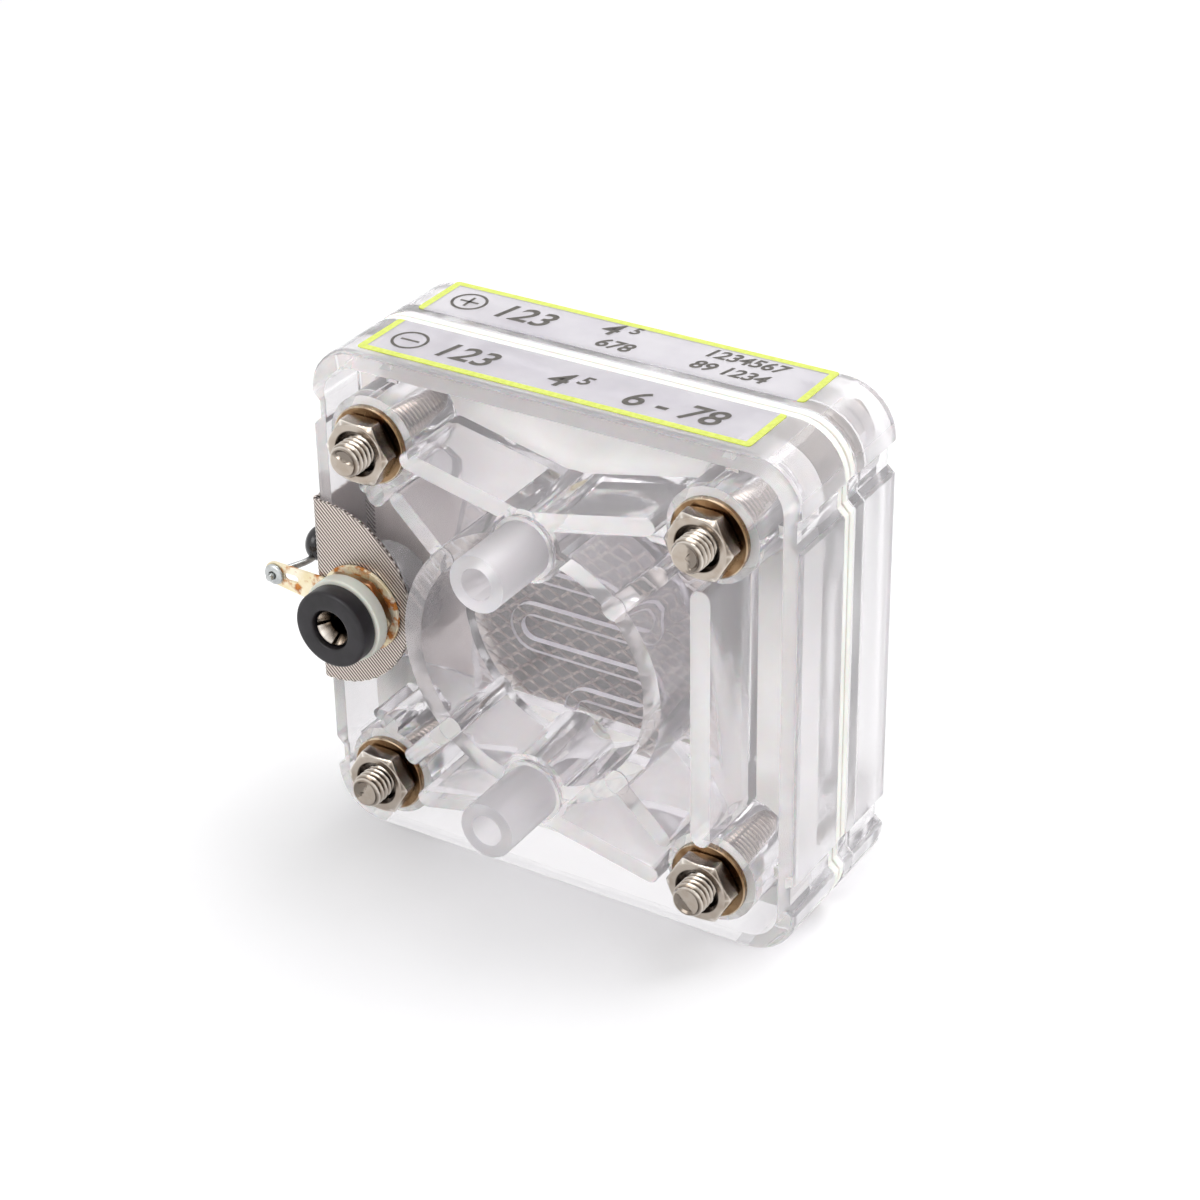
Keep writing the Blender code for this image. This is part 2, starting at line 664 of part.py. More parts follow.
def on_leaf(x, z):
    """Whether a point is on the free mesh of the leaf, clear of its edge and of the socket."""
    from_socket = math.hypot(x - SOCKET_PLACE[0], z - SOCKET_PLACE[1])
    from_centre = math.hypot(x - LEAF_CENTRE[0], z - LEAF_CENTRE[1])
    off_socket = from_socket > CONTACT_RADIUS + 2 * LEAF_STRAND
    inside = from_centre < COLLECTOR_HALF_WIDTH - LEAF_STRAND / 2
    return off_socket and inside and x > LEAF_CENTRE[0]


def make_collector(name, side):
    """A strip of fine mesh from the stack, folded over the face and ending in a half disc."""
    strip = upright_prism(name, ribbon(strip_path(side), COLLECTOR_THICKNESS), STRIP_LOW, STRIP_HIGH)
    near = side * (LEAF_BACK - OVERLAP / 2)
    far = side * (LEAF_FRONT + OVERLAP)
    spans = (BODY_HALF, COLLECTOR_HALF_WIDTH)
    hole = post("contact_hole", CONTACT_HOLE_RADIUS, SOCKET_PLACE, near, far, SMALL)
    cutter = diamonds(LEAF_DIAMOND, LEAF_STRAND, near, far, SOCKET_PLACE, spans, on_leaf)
    return combine(strip, [leaf_trim(near, far), hole, cutter], "DIFFERENCE")


def make_hex(name, across_flats, near, far, hole_radius):
    """A hexagon nut with chamfered corners. Its hole is left out when hole_radius is zero."""
    block = prism(name, hexagon(across_flats), near, far)
    corner = across_flats / math.sqrt(3) + OVERLAP
    low = min(near, far)
    high = max(near, far)
    flat = across_flats / 2 * 0.97
    drop = (corner - flat) * 0.5
    profile = [
        (0, low),
        (flat, low),
        (corner, low + drop),
        (corner, high - drop),
        (flat, high),
        (0, high),
    ]
    combine(block, [turned("chamfer", profile, steps=24)], "INTERSECT")
    if hole_radius:
        hole = post("hole", hole_radius, (0, 0), low - OVERLAP, high + OVERLAP, SMALL)
        combine(block, [hole], "DIFFERENCE")
    return block


def make_bolt(name):
    """A hexagon bolt with its head at the back and a chamfered tip at the front."""
    seat = BOSS_FRONT + SEAT_GAP
    tip = seat - BOLT_LENGTH
    head = make_hex(name, HEX_ACROSS_FLATS, seat, seat + HEAD_HEIGHT, 0.0)
    profile = [
        (0, tip),
        (BOLT_RADIUS - BOLT_TIP_CHAMFER, tip),
        (BOLT_RADIUS, tip + BOLT_TIP_CHAMFER),
        (BOLT_RADIUS, seat + OVERLAP),
        (0, seat + OVERLAP),
    ]
    return combine(head, [turned("shank", profile, steps=SMALL)], "UNION")


def make_nut(name):
    near = -(BOSS_FRONT + WASHER_THICKNESS + 2 * SEAT_GAP)
    return make_hex(name, HEX_ACROSS_FLATS, near, near - NUT_HEIGHT, BOLT_RADIUS + SEAT_GAP)


def make_washer(name):
    near = -(BOSS_FRONT + SEAT_GAP)
    far = near - WASHER_THICKNESS
    inner = BOLT_HOLE_RADIUS
    return turned(name, [(inner, near), (WASHER_RADIUS, near), (WASHER_RADIUS, far), (inner, far)])


def tongue_cutters(side):
    """The free eye of a solder lug, and the hole that its lead goes through."""
    near = side * (LUG_BACK - OVERLAP)
    far = side * (LUG_FRONT + OVERLAP)
    hole = post("lead_hole", LEAD_RADIUS + SEAT_GAP, TONGUE_TIP, near, far, SMALL)
    start = TONGUE_TIP[0] + EYE_TO_LEAD
    eye = stadium((start, TONGUE_TIP[1]), (start + EYE_LENGTH, TONGUE_TIP[1]), EYE_WIDTH)
    return [hole, prism("eye", eye, near, far)]


def make_lug(name, side):
    """A flat ring clamped under the nut, with a tapered tongue to the left."""
    profile = [
        (CONTACT_HOLE_RADIUS, side * LUG_BACK),
        (LUG_RADIUS, side * LUG_BACK),
        (LUG_RADIUS, side * LUG_FRONT),
        (CONTACT_HOLE_RADIUS, side * LUG_FRONT),
    ]
    lug = turned(name, profile, SOCKET_PLACE)
    root_x = SOCKET_PLACE[0] - CONTACT_HOLE_RADIUS - LEAF_STRAND
    root_z = SOCKET_PLACE[1] + SOCKET_DROP / 2
    half = TONGUE_ROOT_WIDTH / 2
    tongue = arc(TONGUE_TIP, TONGUE_TIP_RADIUS, 90, 270, 10)
    tongue += [(root_x, root_z - half), (root_x, root_z + half)]
    combine(lug, [prism("tongue", tongue, side * LUG_BACK, side * LUG_FRONT)], "UNION")
    return combine(lug, tongue_cutters(side), "DIFFERENCE")


def make_solder(name, side):
    """A low dome of solder round the lead, on the end of the tongue."""
    inner = LEAD_RADIUS + SEAT_GAP
    base = LUG_FRONT + SEAT_GAP
    profile = [
        (inner, side * base),
        (SOLDER_RADIUS, side * base),
        (SOLDER_RADIUS * 0.92, side * (base + SOLDER_HEIGHT * 0.5)),
        (SOLDER_RADIUS * 0.65, side * (base + SOLDER_HEIGHT * 0.9)),
        (inner, side * (base + SOLDER_HEIGHT)),
    ]
    return turned(name, profile, TONGUE_TIP, 16)


def make_contact(name, side):
    """The metal tube of the socket, with a rim at its mouth split in four."""
    mouth = side * RIM_FRONT
    bottom = side * (RIM_FRONT - CONTACT_BORE_DEPTH)
    profile = [
        (0, side * CONTACT_BACK),
        (CONTACT_RADIUS, side * CONTACT_BACK),
        (CONTACT_RADIUS, side * RIM_BACK),
        (CONTACT_RIM_RADIUS, side * RIM_BACK),
        (CONTACT_RIM_RADIUS, mouth),
        (CONTACT_BORE_RADIUS, mouth),
        (CONTACT_BORE_RADIUS, bottom),
        (0, bottom),
    ]
    contact = turned(name, profile)
    split_end = side * (RIM_FRONT - CONTACT_SPLIT_DEPTH)
    past = side * (RIM_FRONT + OVERLAP)
    reach = CONTACT_RIM_RADIUS + OVERLAP
    across = ribbon([(-reach, 0), (reach, 0)], CONTACT_SPLIT)
    down = ribbon([(0, -reach), (0, reach)], CONTACT_SPLIT)
    cutters = [prism("split", across, split_end, past), prism("split", down, split_end, past)]
    return combine(contact, cutters, "DIFFERENCE")


def make_insulator(name, side):
    profile = [
        (CONTACT_HOLE_RADIUS, side * INSULATOR_BACK),
        (INSULATOR_RADIUS, side * INSULATOR_BACK),
        (INSULATOR_RADIUS, side * INSULATOR_FRONT),
        (CONTACT_HOLE_RADIUS, side * INSULATOR_FRONT),
    ]
    return turned(name, profile)


def make_socket_head(name, side):
    """The cap of the socket, with a rounded rim and a round opening over the contact."""
    bevel = SOCKET_HEAD_ROUND
    profile = [
        (CONTACT_HOLE_RADIUS, side * HEAD_BACK),
        (SOCKET_HEAD_RADIUS, side * HEAD_BACK),
        (SOCKET_HEAD_RADIUS, side * (HEAD_FRONT - bevel)),
        (SOCKET_HEAD_RADIUS - bevel * 0.3, side * (HEAD_FRONT - bevel * 0.3)),
        (SOCKET_HEAD_RADIUS - bevel, side * HEAD_FRONT),
        (SOCKET_OPENING_RADIUS, side * HEAD_FRONT),
        (SOCKET_OPENING_RADIUS, side * (HEAD_BACK + SOCKET_FLOOR)),
        (CONTACT_HOLE_RADIUS, side * (HEAD_BACK + SOCKET_FLOOR)),
    ]
    return turned(name, profile, steps=ROUND)


def make_bead(name):
    """A rounded disc, facing left, with a socket in its edge for each lead."""
    shape = bmesh.new()
    bmesh.ops.create_uvsphere(shape, u_segments=SMALL, v_segments=10, radius=BEAD_RADIUS)
    flatten = BEAD_HALF_THICKNESS / BEAD_RADIUS
    bmesh.ops.scale(shape, verts=shape.verts, vec=(flatten, 1, 1))
    bmesh.ops.translate(shape, verts=shape.verts, vec=(0, -BEAD_FORWARD, 0))
    bead = add_object(name, shape)
    holes = []
    for side in (FRONT, REAR):
        level = LEAD_RISE - BEAD_RISE
        edge = math.sqrt(BEAD_RADIUS**2 - level**2)
        near = -BEAD_FORWARD + side * (edge - LEAD_SOCKET_DEPTH)
        far = -BEAD_FORWARD + side * (edge + BEAD_RADIUS)
        holes.append(post("lead_hole", LEAD_RADIUS + SEAT_GAP, (0, level), near, far, 12))
    return combine(bead, holes, "DIFFERENCE")


def make_lead(name, side):
    """A bare wire from the bead to the hole in one lug, with its cut end just past the lug."""
    edge = math.sqrt(BEAD_RADIUS**2 - (LEAD_RISE - BEAD_RISE) ** 2)
    start = -BEAD_FORWARD + side * (edge - LEAD_SOCKET_DEPTH + SEAT_GAP)
    straight = -BEAD_FORWARD + side * (BEAD_RADIUS + OVERLAP)
    end = side * LEAD_FRONT
    bend = side * (LUG_BACK - 2 * OVERLAP)
    path = [
        (BEAD_PLACE[0], start, LEAD_RISE),
        (BEAD_PLACE[0], straight, LEAD_RISE),
        (TONGUE_TIP[0], bend, LEAD_RISE),
        (TONGUE_TIP[0], end, LEAD_RISE),
    ]
    return tube(name, path, LEAD_RADIUS)


def make_label(name, side):
    far = side * (FRAME_FRONT - LABEL_TO_EDGE[side])
    near = far - side * LABEL_WIDTH
    low = BODY_HALF + SHEET_GAP / 2
    outline = rectangle(-LABEL_LENGTH / 2, LABEL_LENGTH / 2, low, low + LABEL_THICKNESS)
    return prism(name, [(x - LABEL_SHIFT, z) for x, z in outline], near, far)


def linear(colour):
    """The linear values of a six-digit colour."""
    values = [int(colour[i : i + 2], 16) / 255 for i in (0, 2, 4)]
    return [v / 12.92 if v <= 0.04045 else ((v + 0.055) / 1.055) ** 2.4 for v in values]


def finish(item, root, colour, roughness, metallic=0.0, place=(0.0, 0.0), alpha=1.0):
    """Gives a piece its material and its place, and makes it a child of the cell."""
    material = bpy.data.materials.new(item.name)
    material.use_nodes = True
    shader = material.node_tree.nodes["Principled BSDF"]
    shader.inputs["Base Color"].default_value = (*linear(colour), 1.0)
    shader.inputs["Roughness"].default_value = roughness
    shader.inputs["Metallic"].default_value = metallic
    shader.inputs["Alpha"].default_value = alpha
    item.data.materials.clear()
    item.data.materials.append(material)
    item.data.shade_smooth()
    item.data.set_sharp_from_angle(angle=math.radians(30))
    item.location = (place[0], 0, place[1])
    item.parent = root


def add_bolt_sets(root):
    """A bolt, a washer and a nut at each corner."""
    names = ("upper_right", "upper_left", "lower_left", "lower_right")
    for name, place in zip(names, corners_of(BOLT_PLACE)):
        finish(make_bolt("bolt_" + name), root, "BDB3A6", 0.3, 1.0, place)
        finish(make_washer("washer_" + name), root, "A8968A", 0.35, 1.0, place)
        finish(make_nut("nut_" + name), root, "BDB3A6", 0.3, 1.0, place)


def add_socket(root, name, side):
    """The socket of one half, from the leaf outwards."""
    place = SOCKET_PLACE
    near = side * SOCKET_HEX_BACK
    far = side * SOCKET_HEX_FRONT
    hexagon_nut = make_hex(
        name + "_socket_nut", SOCKET_HEX_ACROSS_FLATS, near, far, CONTACT_HOLE_RADIUS
    )
    finish(make_lug(name + "_solder_lug", side), root, "E0CFA0", 0.35, 1.0)
    finish(hexagon_nut, root, "C9B27C", 0.35, 1.0, place)
    finish(make_insulator(name + "_insulator", side), root, "C9C8C0", 0.45, 0.0, place)
    finish(make_socket_head(name + "_socket_head", side), root, "1E1A1D", 0.4, 0.0, place)
    finish(make_contact(name + "_contact", side), root, "CFC8BC", 0.25, 1.0, place)
    finish(make_solder(name + "_solder_joint", side), root, "B9BCBC", 0.3, 1.0)


def add_half(root, name, side):
    """All of one half except its bolts: housing, seal, stack, collector, socket and label."""
    inner = side * GASKET_BACK
    electrode = make_sheet(name + "_electrode", 0.0, inner, side * GASKET_FRONT)
    finish(make_housing(name + "_housing", side), root, "DEDBE0", 0.08, 0.0, alpha=0.35)
    finish(make_gasket(name + "_gasket", side), root, "EFF0E2", 0.5)
    finish(electrode, root, "2B2828", 0.8)
    finish(make_flow_mesh(name + "_flow_mesh", side), root, "8C817C", 0.4, 1.0)
    finish(make_collector(name + "_collector", side), root, "A39691", 0.4, 1.0)
    finish(make_label(name + "_label", side), root, "E4E0EA", 0.3)
    add_socket(root, name, side)
    finish(make_lead(name + "_lead", side), root, "B9BCBC", 0.3, 1.0)


def build():
    clear_scene()
    root = bpy.data.objects.new("fuel_cell", None)
    root.location = (RING_X, 0, RING_HEIGHT)
    bpy.context.scene.collection.objects.link(root)
    membrane = make_sheet("membrane", MEMBRANE_MARGIN, -MEMBRANE_FACE, MEMBRANE_FACE)
    finish(membrane, root, "D9CFA8", 0.4)
    add_half(root, "front", FRONT)
    add_half(root, "rear", REAR)
    finish(make_bead("protection_bead"), root, "1B1A1C", 0.4, 0.0, BEAD_PLACE)
    add_bolt_sets(root)


build()
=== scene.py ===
import math

import bmesh
import bpy
import numpy as np
from mathutils import Matrix, Vector


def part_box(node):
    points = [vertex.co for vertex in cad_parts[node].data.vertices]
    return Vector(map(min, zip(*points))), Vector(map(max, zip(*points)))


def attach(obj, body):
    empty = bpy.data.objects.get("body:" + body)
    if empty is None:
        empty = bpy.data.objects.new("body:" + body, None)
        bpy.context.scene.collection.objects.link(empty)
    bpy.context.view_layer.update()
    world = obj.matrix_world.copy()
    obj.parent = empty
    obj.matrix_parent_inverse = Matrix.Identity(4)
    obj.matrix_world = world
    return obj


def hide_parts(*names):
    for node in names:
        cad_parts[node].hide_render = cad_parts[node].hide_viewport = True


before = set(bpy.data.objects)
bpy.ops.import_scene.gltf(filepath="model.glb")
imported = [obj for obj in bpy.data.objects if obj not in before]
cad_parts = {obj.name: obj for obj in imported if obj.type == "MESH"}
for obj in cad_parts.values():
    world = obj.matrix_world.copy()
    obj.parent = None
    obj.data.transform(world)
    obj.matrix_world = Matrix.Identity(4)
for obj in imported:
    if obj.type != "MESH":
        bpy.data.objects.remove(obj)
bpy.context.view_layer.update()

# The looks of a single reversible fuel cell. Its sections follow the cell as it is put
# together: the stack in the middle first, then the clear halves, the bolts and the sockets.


# Membrane: one thin sheet of cast ion-conducting film in the middle of the cell, clamped
# between the two gaskets. It is straw-coloured and slightly cockled from being wet.

MM = 0.001
COCKLE = 3.0


def linear(code):
    """The linear colour of an sRGB hex value: straight near black, a power of 2.4 above it."""
    values = np.array([int(code[i : i + 2], 16) for i in (1, 3, 5)]) / 255
    return (*np.where(values <= 0.04045, values / 12.92, ((values + 0.055) / 1.055) ** 2.4), 1.0)


def add_node(holder, kind, inputs=None, stops=(), **settings):
    """Adds a node to a material or the world with its settings, and fills or links its inputs.

    Stops are the positions and the hex colours of a colour ramp."""
    tree = holder.node_tree
    node = tree.nodes.new(kind)
    for name, value in settings.items():
        setattr(node, name, value)
    for name, value in (inputs or {}).items():
        if isinstance(value, bpy.types.NodeSocket):
            tree.links.new(value, node.inputs[name])
        else:
            node.inputs[name].default_value = value
    for i, (position, colour) in enumerate(stops):
        stop = node.color_ramp.elements[i] if i < 2 else node.color_ramp.elements.new(position)
        stop.position = position
        stop.color = linear(colour)
    return node


def start_material(name, **values):
    """A material and its Principled shader, with the values that are even over the surface."""
    material = bpy.data.materials.new(name)
    material.use_nodes = True
    shader = material.node_tree.nodes["Principled BSDF"]
    for label, value in values.items():
        shader.inputs[label.replace("_", " ")].default_value = value
    return material, shader


def blotches(material, grain, detail=3.0):
    """Soft noise on the piece's own place, with blotches about grain millimetres across."""
    place = add_node(material, "ShaderNodeTexCoord").outputs["Object"]
    noise = {"Vector": place, "Scale": 1 / (grain * MM), "Detail": detail}
    return add_node(material, "ShaderNodeTexNoise", noise).outputs["Fac"]


def mottled(material, first, second, grain, low=0.3, high=0.7):
    """Two colours that run into each other over soft blotches of a real size."""
    noise = {"Fac": blotches(material, grain)}
    stops = ((low, first), (high, second))
    return add_node(material, "ShaderNodeValToRGB", noise, stops).outputs["Color"]


def uneven_shine(material, shader, low, high, grain):
    """Roughness that wanders between two values over blotches of a real size."""
    values = {"Value": blotches(material, grain), "To Min": low, "To Max": high}
    wander = add_node(material, "ShaderNodeMapRange", values)
    join(material, shader, Roughness=wander.outputs["Result"])


def surface_grain(material, shader, grain, depth, detail=3.0):
    """Bumps and hollows of a real size and depth, both in millimetres."""
    height = blotches(material, grain, detail)
    values = {"Height": height, "Distance": depth * MM, "Strength": 1.0}
    join(material, shader, Normal=add_node(material, "ShaderNodeBump", values).outputs["Normal"])


def join(holder, node, **links):
    """Links sockets to a node's inputs by name."""
    for label, socket in links.items():
        holder.node_tree.links.new(socket, node.inputs[label.replace("_", " ")])


def dress(node, material):
    """Gives a piece of the frame its finish."""
    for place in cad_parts[node].material_slots:
        place.material = material


def cast_film():
    """Cast ionomer film: straw yellow, dull, and lightly cockled."""
    material, shader = start_material("cast_ionomer_film", Roughness=0.4, IOR=1.35)
    join(material, shader, Base_Color=mottled(material, "#CFC39A", "#DDD4B2", grain=COCKLE))
    surface_grain(material, shader, grain=COCKLE, depth=0.05)
    return material


dress("membrane", cast_film())


# Electrodes: two sheets of woven carbon cloth, cut to size and pressed on the membrane.
# The cloth is nearly black; beyond the window, along its clamped margin, it is painted pale as
# painted light.

# The front half lies towards -y and the rear half, its mirror image, towards +y.
FRONT = -1
REAR = 1
SIDES = (("front", FRONT), ("rear", REAR))
TOW = 0.5 * MM
WINDOW_CENTRE = (3.6 * MM, 0, 30.0 * MM)
WINDOW_RADIUS = 14.2 * MM


def with_painted_light_margin(material, tone, colour):
    """A colour socket that gives way to a given pale colour beyond the round window, as painted
    light.
    """
    place = add_node(material, "ShaderNodeTexCoord").outputs["Object"]
    flat = {0: place, 1: (1, 0, 1)}
    flat = add_node(material, "ShaderNodeVectorMath", flat, operation="MULTIPLY").outputs[0]
    ends = {0: flat, 1: WINDOW_CENTRE}
    away = add_node(material, "ShaderNodeVectorMath", ends, operation="DISTANCE").outputs["Value"]
    margin = {"Value": away, "From Min": WINDOW_RADIUS, "From Max": WINDOW_RADIUS + MM}
    margin = add_node(material, "ShaderNodeMapRange", margin).outputs["Result"]
    layers = {"Factor": margin, 6: tone, 7: linear(colour)}
    return add_node(material, "ShaderNodeMix", layers, data_type="RGBA").outputs[2]


def carbon_cloth():
    """Woven carbon: near-black tows over and under, with a faint graphite sheen."""
    material, shader = start_material("woven_carbon_cloth", Roughness=0.65)
    place = add_node(material, "ShaderNodeTexCoord").outputs["Object"]
    checks = add_node(material, "ShaderNodeTexChecker", {"Vector": place, "Scale": 1 / TOW})
    tows = {0: checks.outputs["Fac"], 1: blotches(material, grain=0.2)}
    tows = add_node(material, "ShaderNodeMath", tows, operation="MULTIPLY").outputs[0]
    stops = ((0.0, "#1C1715"), (0.7, "#352D2A"))
    tone = add_node(material, "ShaderNodeValToRGB", {"Fac": tows}, stops).outputs["Color"]
    bump = {"Height": tows, "Distance": 0.08 * MM, "Strength": 1.0}
    bump = add_node(material, "ShaderNodeBump", bump).outputs["Normal"]
    # The pale margin colour is painted light.
    join(material, shader, Base_Color=with_painted_light_margin(material, tone, "#EFEDEC"), Normal=bump)
    return material


cloth = carbon_cloth()
for name, side in SIDES:
    dress(name + "_electrode", cloth)


# Flow meshes: a sheet of expanded metal in each half, slit and stretched so that its tilted
# strands leave diamond holes. It is dull brownish grey metal, painted pale beyond the window as
# painted light.

DIAMOND_LENGTH = 2.7 * MM
DIAMOND_HEIGHT = 2.1 * MM
STRAND_WIDTH = 0.4 * MM
STRAND_THICKNESS = 0.2 * MM
STRAND_TILT = math.radians(20)
STRAND_WAVE = 0.22 * MM
STATIONS_PER_DIAMOND = 10
TURN_SOFTNESS = 0.93
CREASE = math.radians(35)


def make_mesh(name, places, closed_rows=False, light_and_wear=None):
    """Turns a grid of places, rows by columns, into a closed mesh.

    The columns run round and join up. The rows join up too where closed_rows says so, and
    otherwise each open end is filled. Places that coincide are merged, so a row that shrinks
    to a point becomes a pole. Light_and_wear is a value from 0 to 1 for each place, kept as an
    attribute; besides real rubbing it carries painted shade, painted highlights and painted light."""
    rows, columns = places.shape[:2]
    index = np.arange(rows * columns).reshape(rows, columns)
    below = index if closed_rows else index[:-1]
    above = np.roll(index, -1, axis=0)[: len(below)]
    corners = (below, np.roll(below, -1, axis=1), np.roll(above, -1, axis=1), above)
    faces = np.stack(corners, axis=-1).reshape(-1, 4)
    mesh = bpy.data.meshes.new(name)
    mesh.from_pydata(places.reshape(-1, 3), [], faces)
    if light_and_wear is not None:
        layer = mesh.attributes.new("light_and_wear", "FLOAT", "POINT")
        layer.data.foreach_set("value", np.broadcast_to(light_and_wear, (rows, columns)).ravel())
    return close_mesh(mesh)


def close_mesh(mesh):
    """Merges what coincides, fills open ends, points the faces outwards and shades them."""
    shape = bmesh.new()
    shape.from_mesh(mesh)
    bmesh.ops.remove_doubles(shape, verts=shape.verts, dist=1e-7)
    bmesh.ops.dissolve_degenerate(shape, edges=shape.edges, dist=1e-8)
    bmesh.ops.holes_fill(shape, edges=[edge for edge in shape.edges if edge.is_boundary])
    bmesh.ops.recalc_face_normals(shape, faces=shape.faces)
    shape.to_mesh(mesh)
    shape.free()
    mesh.shade_smooth()
    mesh.set_sharp_from_angle(angle=CREASE)
    return mesh


def add_piece(mesh, material, slot, *nodes):
    """Shows a finished mesh in place of its nodes of the frame."""
    piece = bpy.data.objects.new(mesh.name, mesh)
    bpy.context.scene.collection.objects.link(piece)
    mesh.materials.clear()
    mesh.materials.append(material)
    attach(piece, "root")
    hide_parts(*nodes)
    return piece


def joined(name, parts):
    """Several closed meshes as one, with their attributes kept."""
    shape = bmesh.new()
    for part in parts:
        shape.from_mesh(part)
        bpy.data.meshes.remove(part)
    mesh = bpy.data.meshes.new(name)
    shape.to_mesh(mesh)
    shape.free()
    return mesh


def strands(name, side, low, high):
    """Zigzag strands of an expanded sheet that spans a box from low to high.

    Along x each strand swings between two heights, as a triangle wave with softened turns,
    and comes forward a little as it rises. Its four-cornered section is tilted the same way.
    Neighbours swing half a diamond apart, so each touches the next where they meet."""
    rows = int((high[2] - low[2]) / (DIAMOND_HEIGHT / 2)) - 1
    periods = (high[0] - low[0]) / DIAMOND_LENGTH
    x = np.linspace(low[0], high[0], int(periods * STATIONS_PER_DIAMOND) + 1)
    k = np.arange(rows)[:, None]
    phase = 2 * math.pi * (x[None] - low[0]) / DIAMOND_LENGTH + math.pi * k
    swing = np.arcsin(TURN_SOFTNESS * np.sin(phase)) / np.arcsin(TURN_SOFTNESS)
    z = low[2] + DIAMOND_HEIGHT / 2 * (k + 1) + swing * DIAMOND_HEIGHT / 4
    y = (low[1] + high[1]) / 2 + side * (STRAND_WAVE + swing * STRAND_WAVE)
    across = np.array((-1, 1, 1, -1)) * STRAND_WIDTH / 2
    through = np.array((-1, -1, 1, 1)) * STRAND_THICKNESS / 2
    tilt = STRAND_TILT * side
    places = np.empty((rows, len(x), 4, 3))
    places[..., 0] = x[None, :, None]
    places[..., 1] = y[..., None] + across * math.sin(tilt) + through * math.cos(tilt)
    places[..., 2] = z[..., None] + across * math.cos(tilt) - through * math.sin(tilt)
    return joined(name, [make_mesh(name, strand) for strand in places])


def expanded_metal():
    """Expanded nickel: brownish grey and dull where water reaches it, and pale at the margin as
    painted light.
    """
    material, shader = start_material("expanded_nickel", Metallic=0.5)
    stops = ((0.3, "#6E5D55"), (0.5, "#9C877C"), (0.7, "#D2C3B9"))
    grain = {"Fac": blotches(material, grain=0.6)}
    tone = add_node(material, "ShaderNodeValToRGB", grain, stops).outputs["Color"]
    # The pale margin colour is painted light.
    join(material, shader, Base_Color=with_painted_light_margin(material, tone, "#F3F1F0"))
    uneven_shine(material, shader, 0.35, 0.55, grain=0.6)
    surface_grain(material, shader, grain=0.12, depth=0.02)
    return material


expanded = expanded_metal()
for name, side in SIDES:
    node = name + "_flow_mesh"
    mesh = strands(name + "_expanded_sheet", side, *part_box(node))
    add_piece(mesh, expanded, "coarse_mesh", node)


# Collectors: a strip of fine woven wire cloth in each half, cut with a round end. It comes out
# of the joint on the left and is folded forward and over the face, where the socket clamps it.

# The wires of the real cloth are about 0.2 mm apart. They are drawn further apart, at 0.27 mm,
# because a finer weave would not show.
WIRE_PITCH = 0.27 * MM
WIRE_HEIGHT = 0.07 * MM
CLOTH_CORE = 0.2 * MM
FRAY = 0.16 * MM
STACK_STEP = 1.0 * MM
# How pale the hidden cloth is painted beyond the window, as painted light.
MARGIN_PAINTED_LIGHT = 0.9
FOLD_REACH = 0.6 * MM
FOLD_STEPS = 7
STACK_DEPTH = 1.43 * MM
LEAF_DEPTH = 11.18 * MM
LEAF_SIDE = 5 * MM
LEAF_STRAIGHT = 1.25 * MM
WOVEN_MARGIN = 2 * MM


def soften(corners, reach, steps=5):
    """Rounds the corners of a closed outline, each with a quadratic curve between its two sides.

    The curve starts and ends at reach from the corner, or at 0.45 of a shorter side."""
    corners = np.array(corners, float)
    reach = np.broadcast_to(np.asarray(reach, float), len(corners))[:, None]
    curve = []
    for way in (1, -1):
        step = np.roll(corners, way, axis=0) - corners
        length = np.linalg.norm(step, axis=1, keepdims=True)
        curve.append(corners + step / length * np.minimum(reach, length * 0.45))
    t = np.linspace(0, 1, steps)[:, None, None]
    points = (1 - t) ** 2 * curve[0] + 2 * t * (1 - t) * corners + t**2 * curve[1]
    return points.transpose(1, 0, 2).reshape(-1, corners.shape[1])


def along_path(points, marks):
    """Places and directions at distances along a path, measured from its start."""
    run = np.concatenate(([0], np.cumsum(np.linalg.norm(np.diff(points, axis=0), axis=1))))
    places = np.stack([np.interp(marks, run, points[:, i]) for i in (0, 1)], axis=1)
    ways = np.gradient(places, axis=0)
    return places, ways / np.linalg.norm(ways, axis=1, keepdims=True), run[-1]


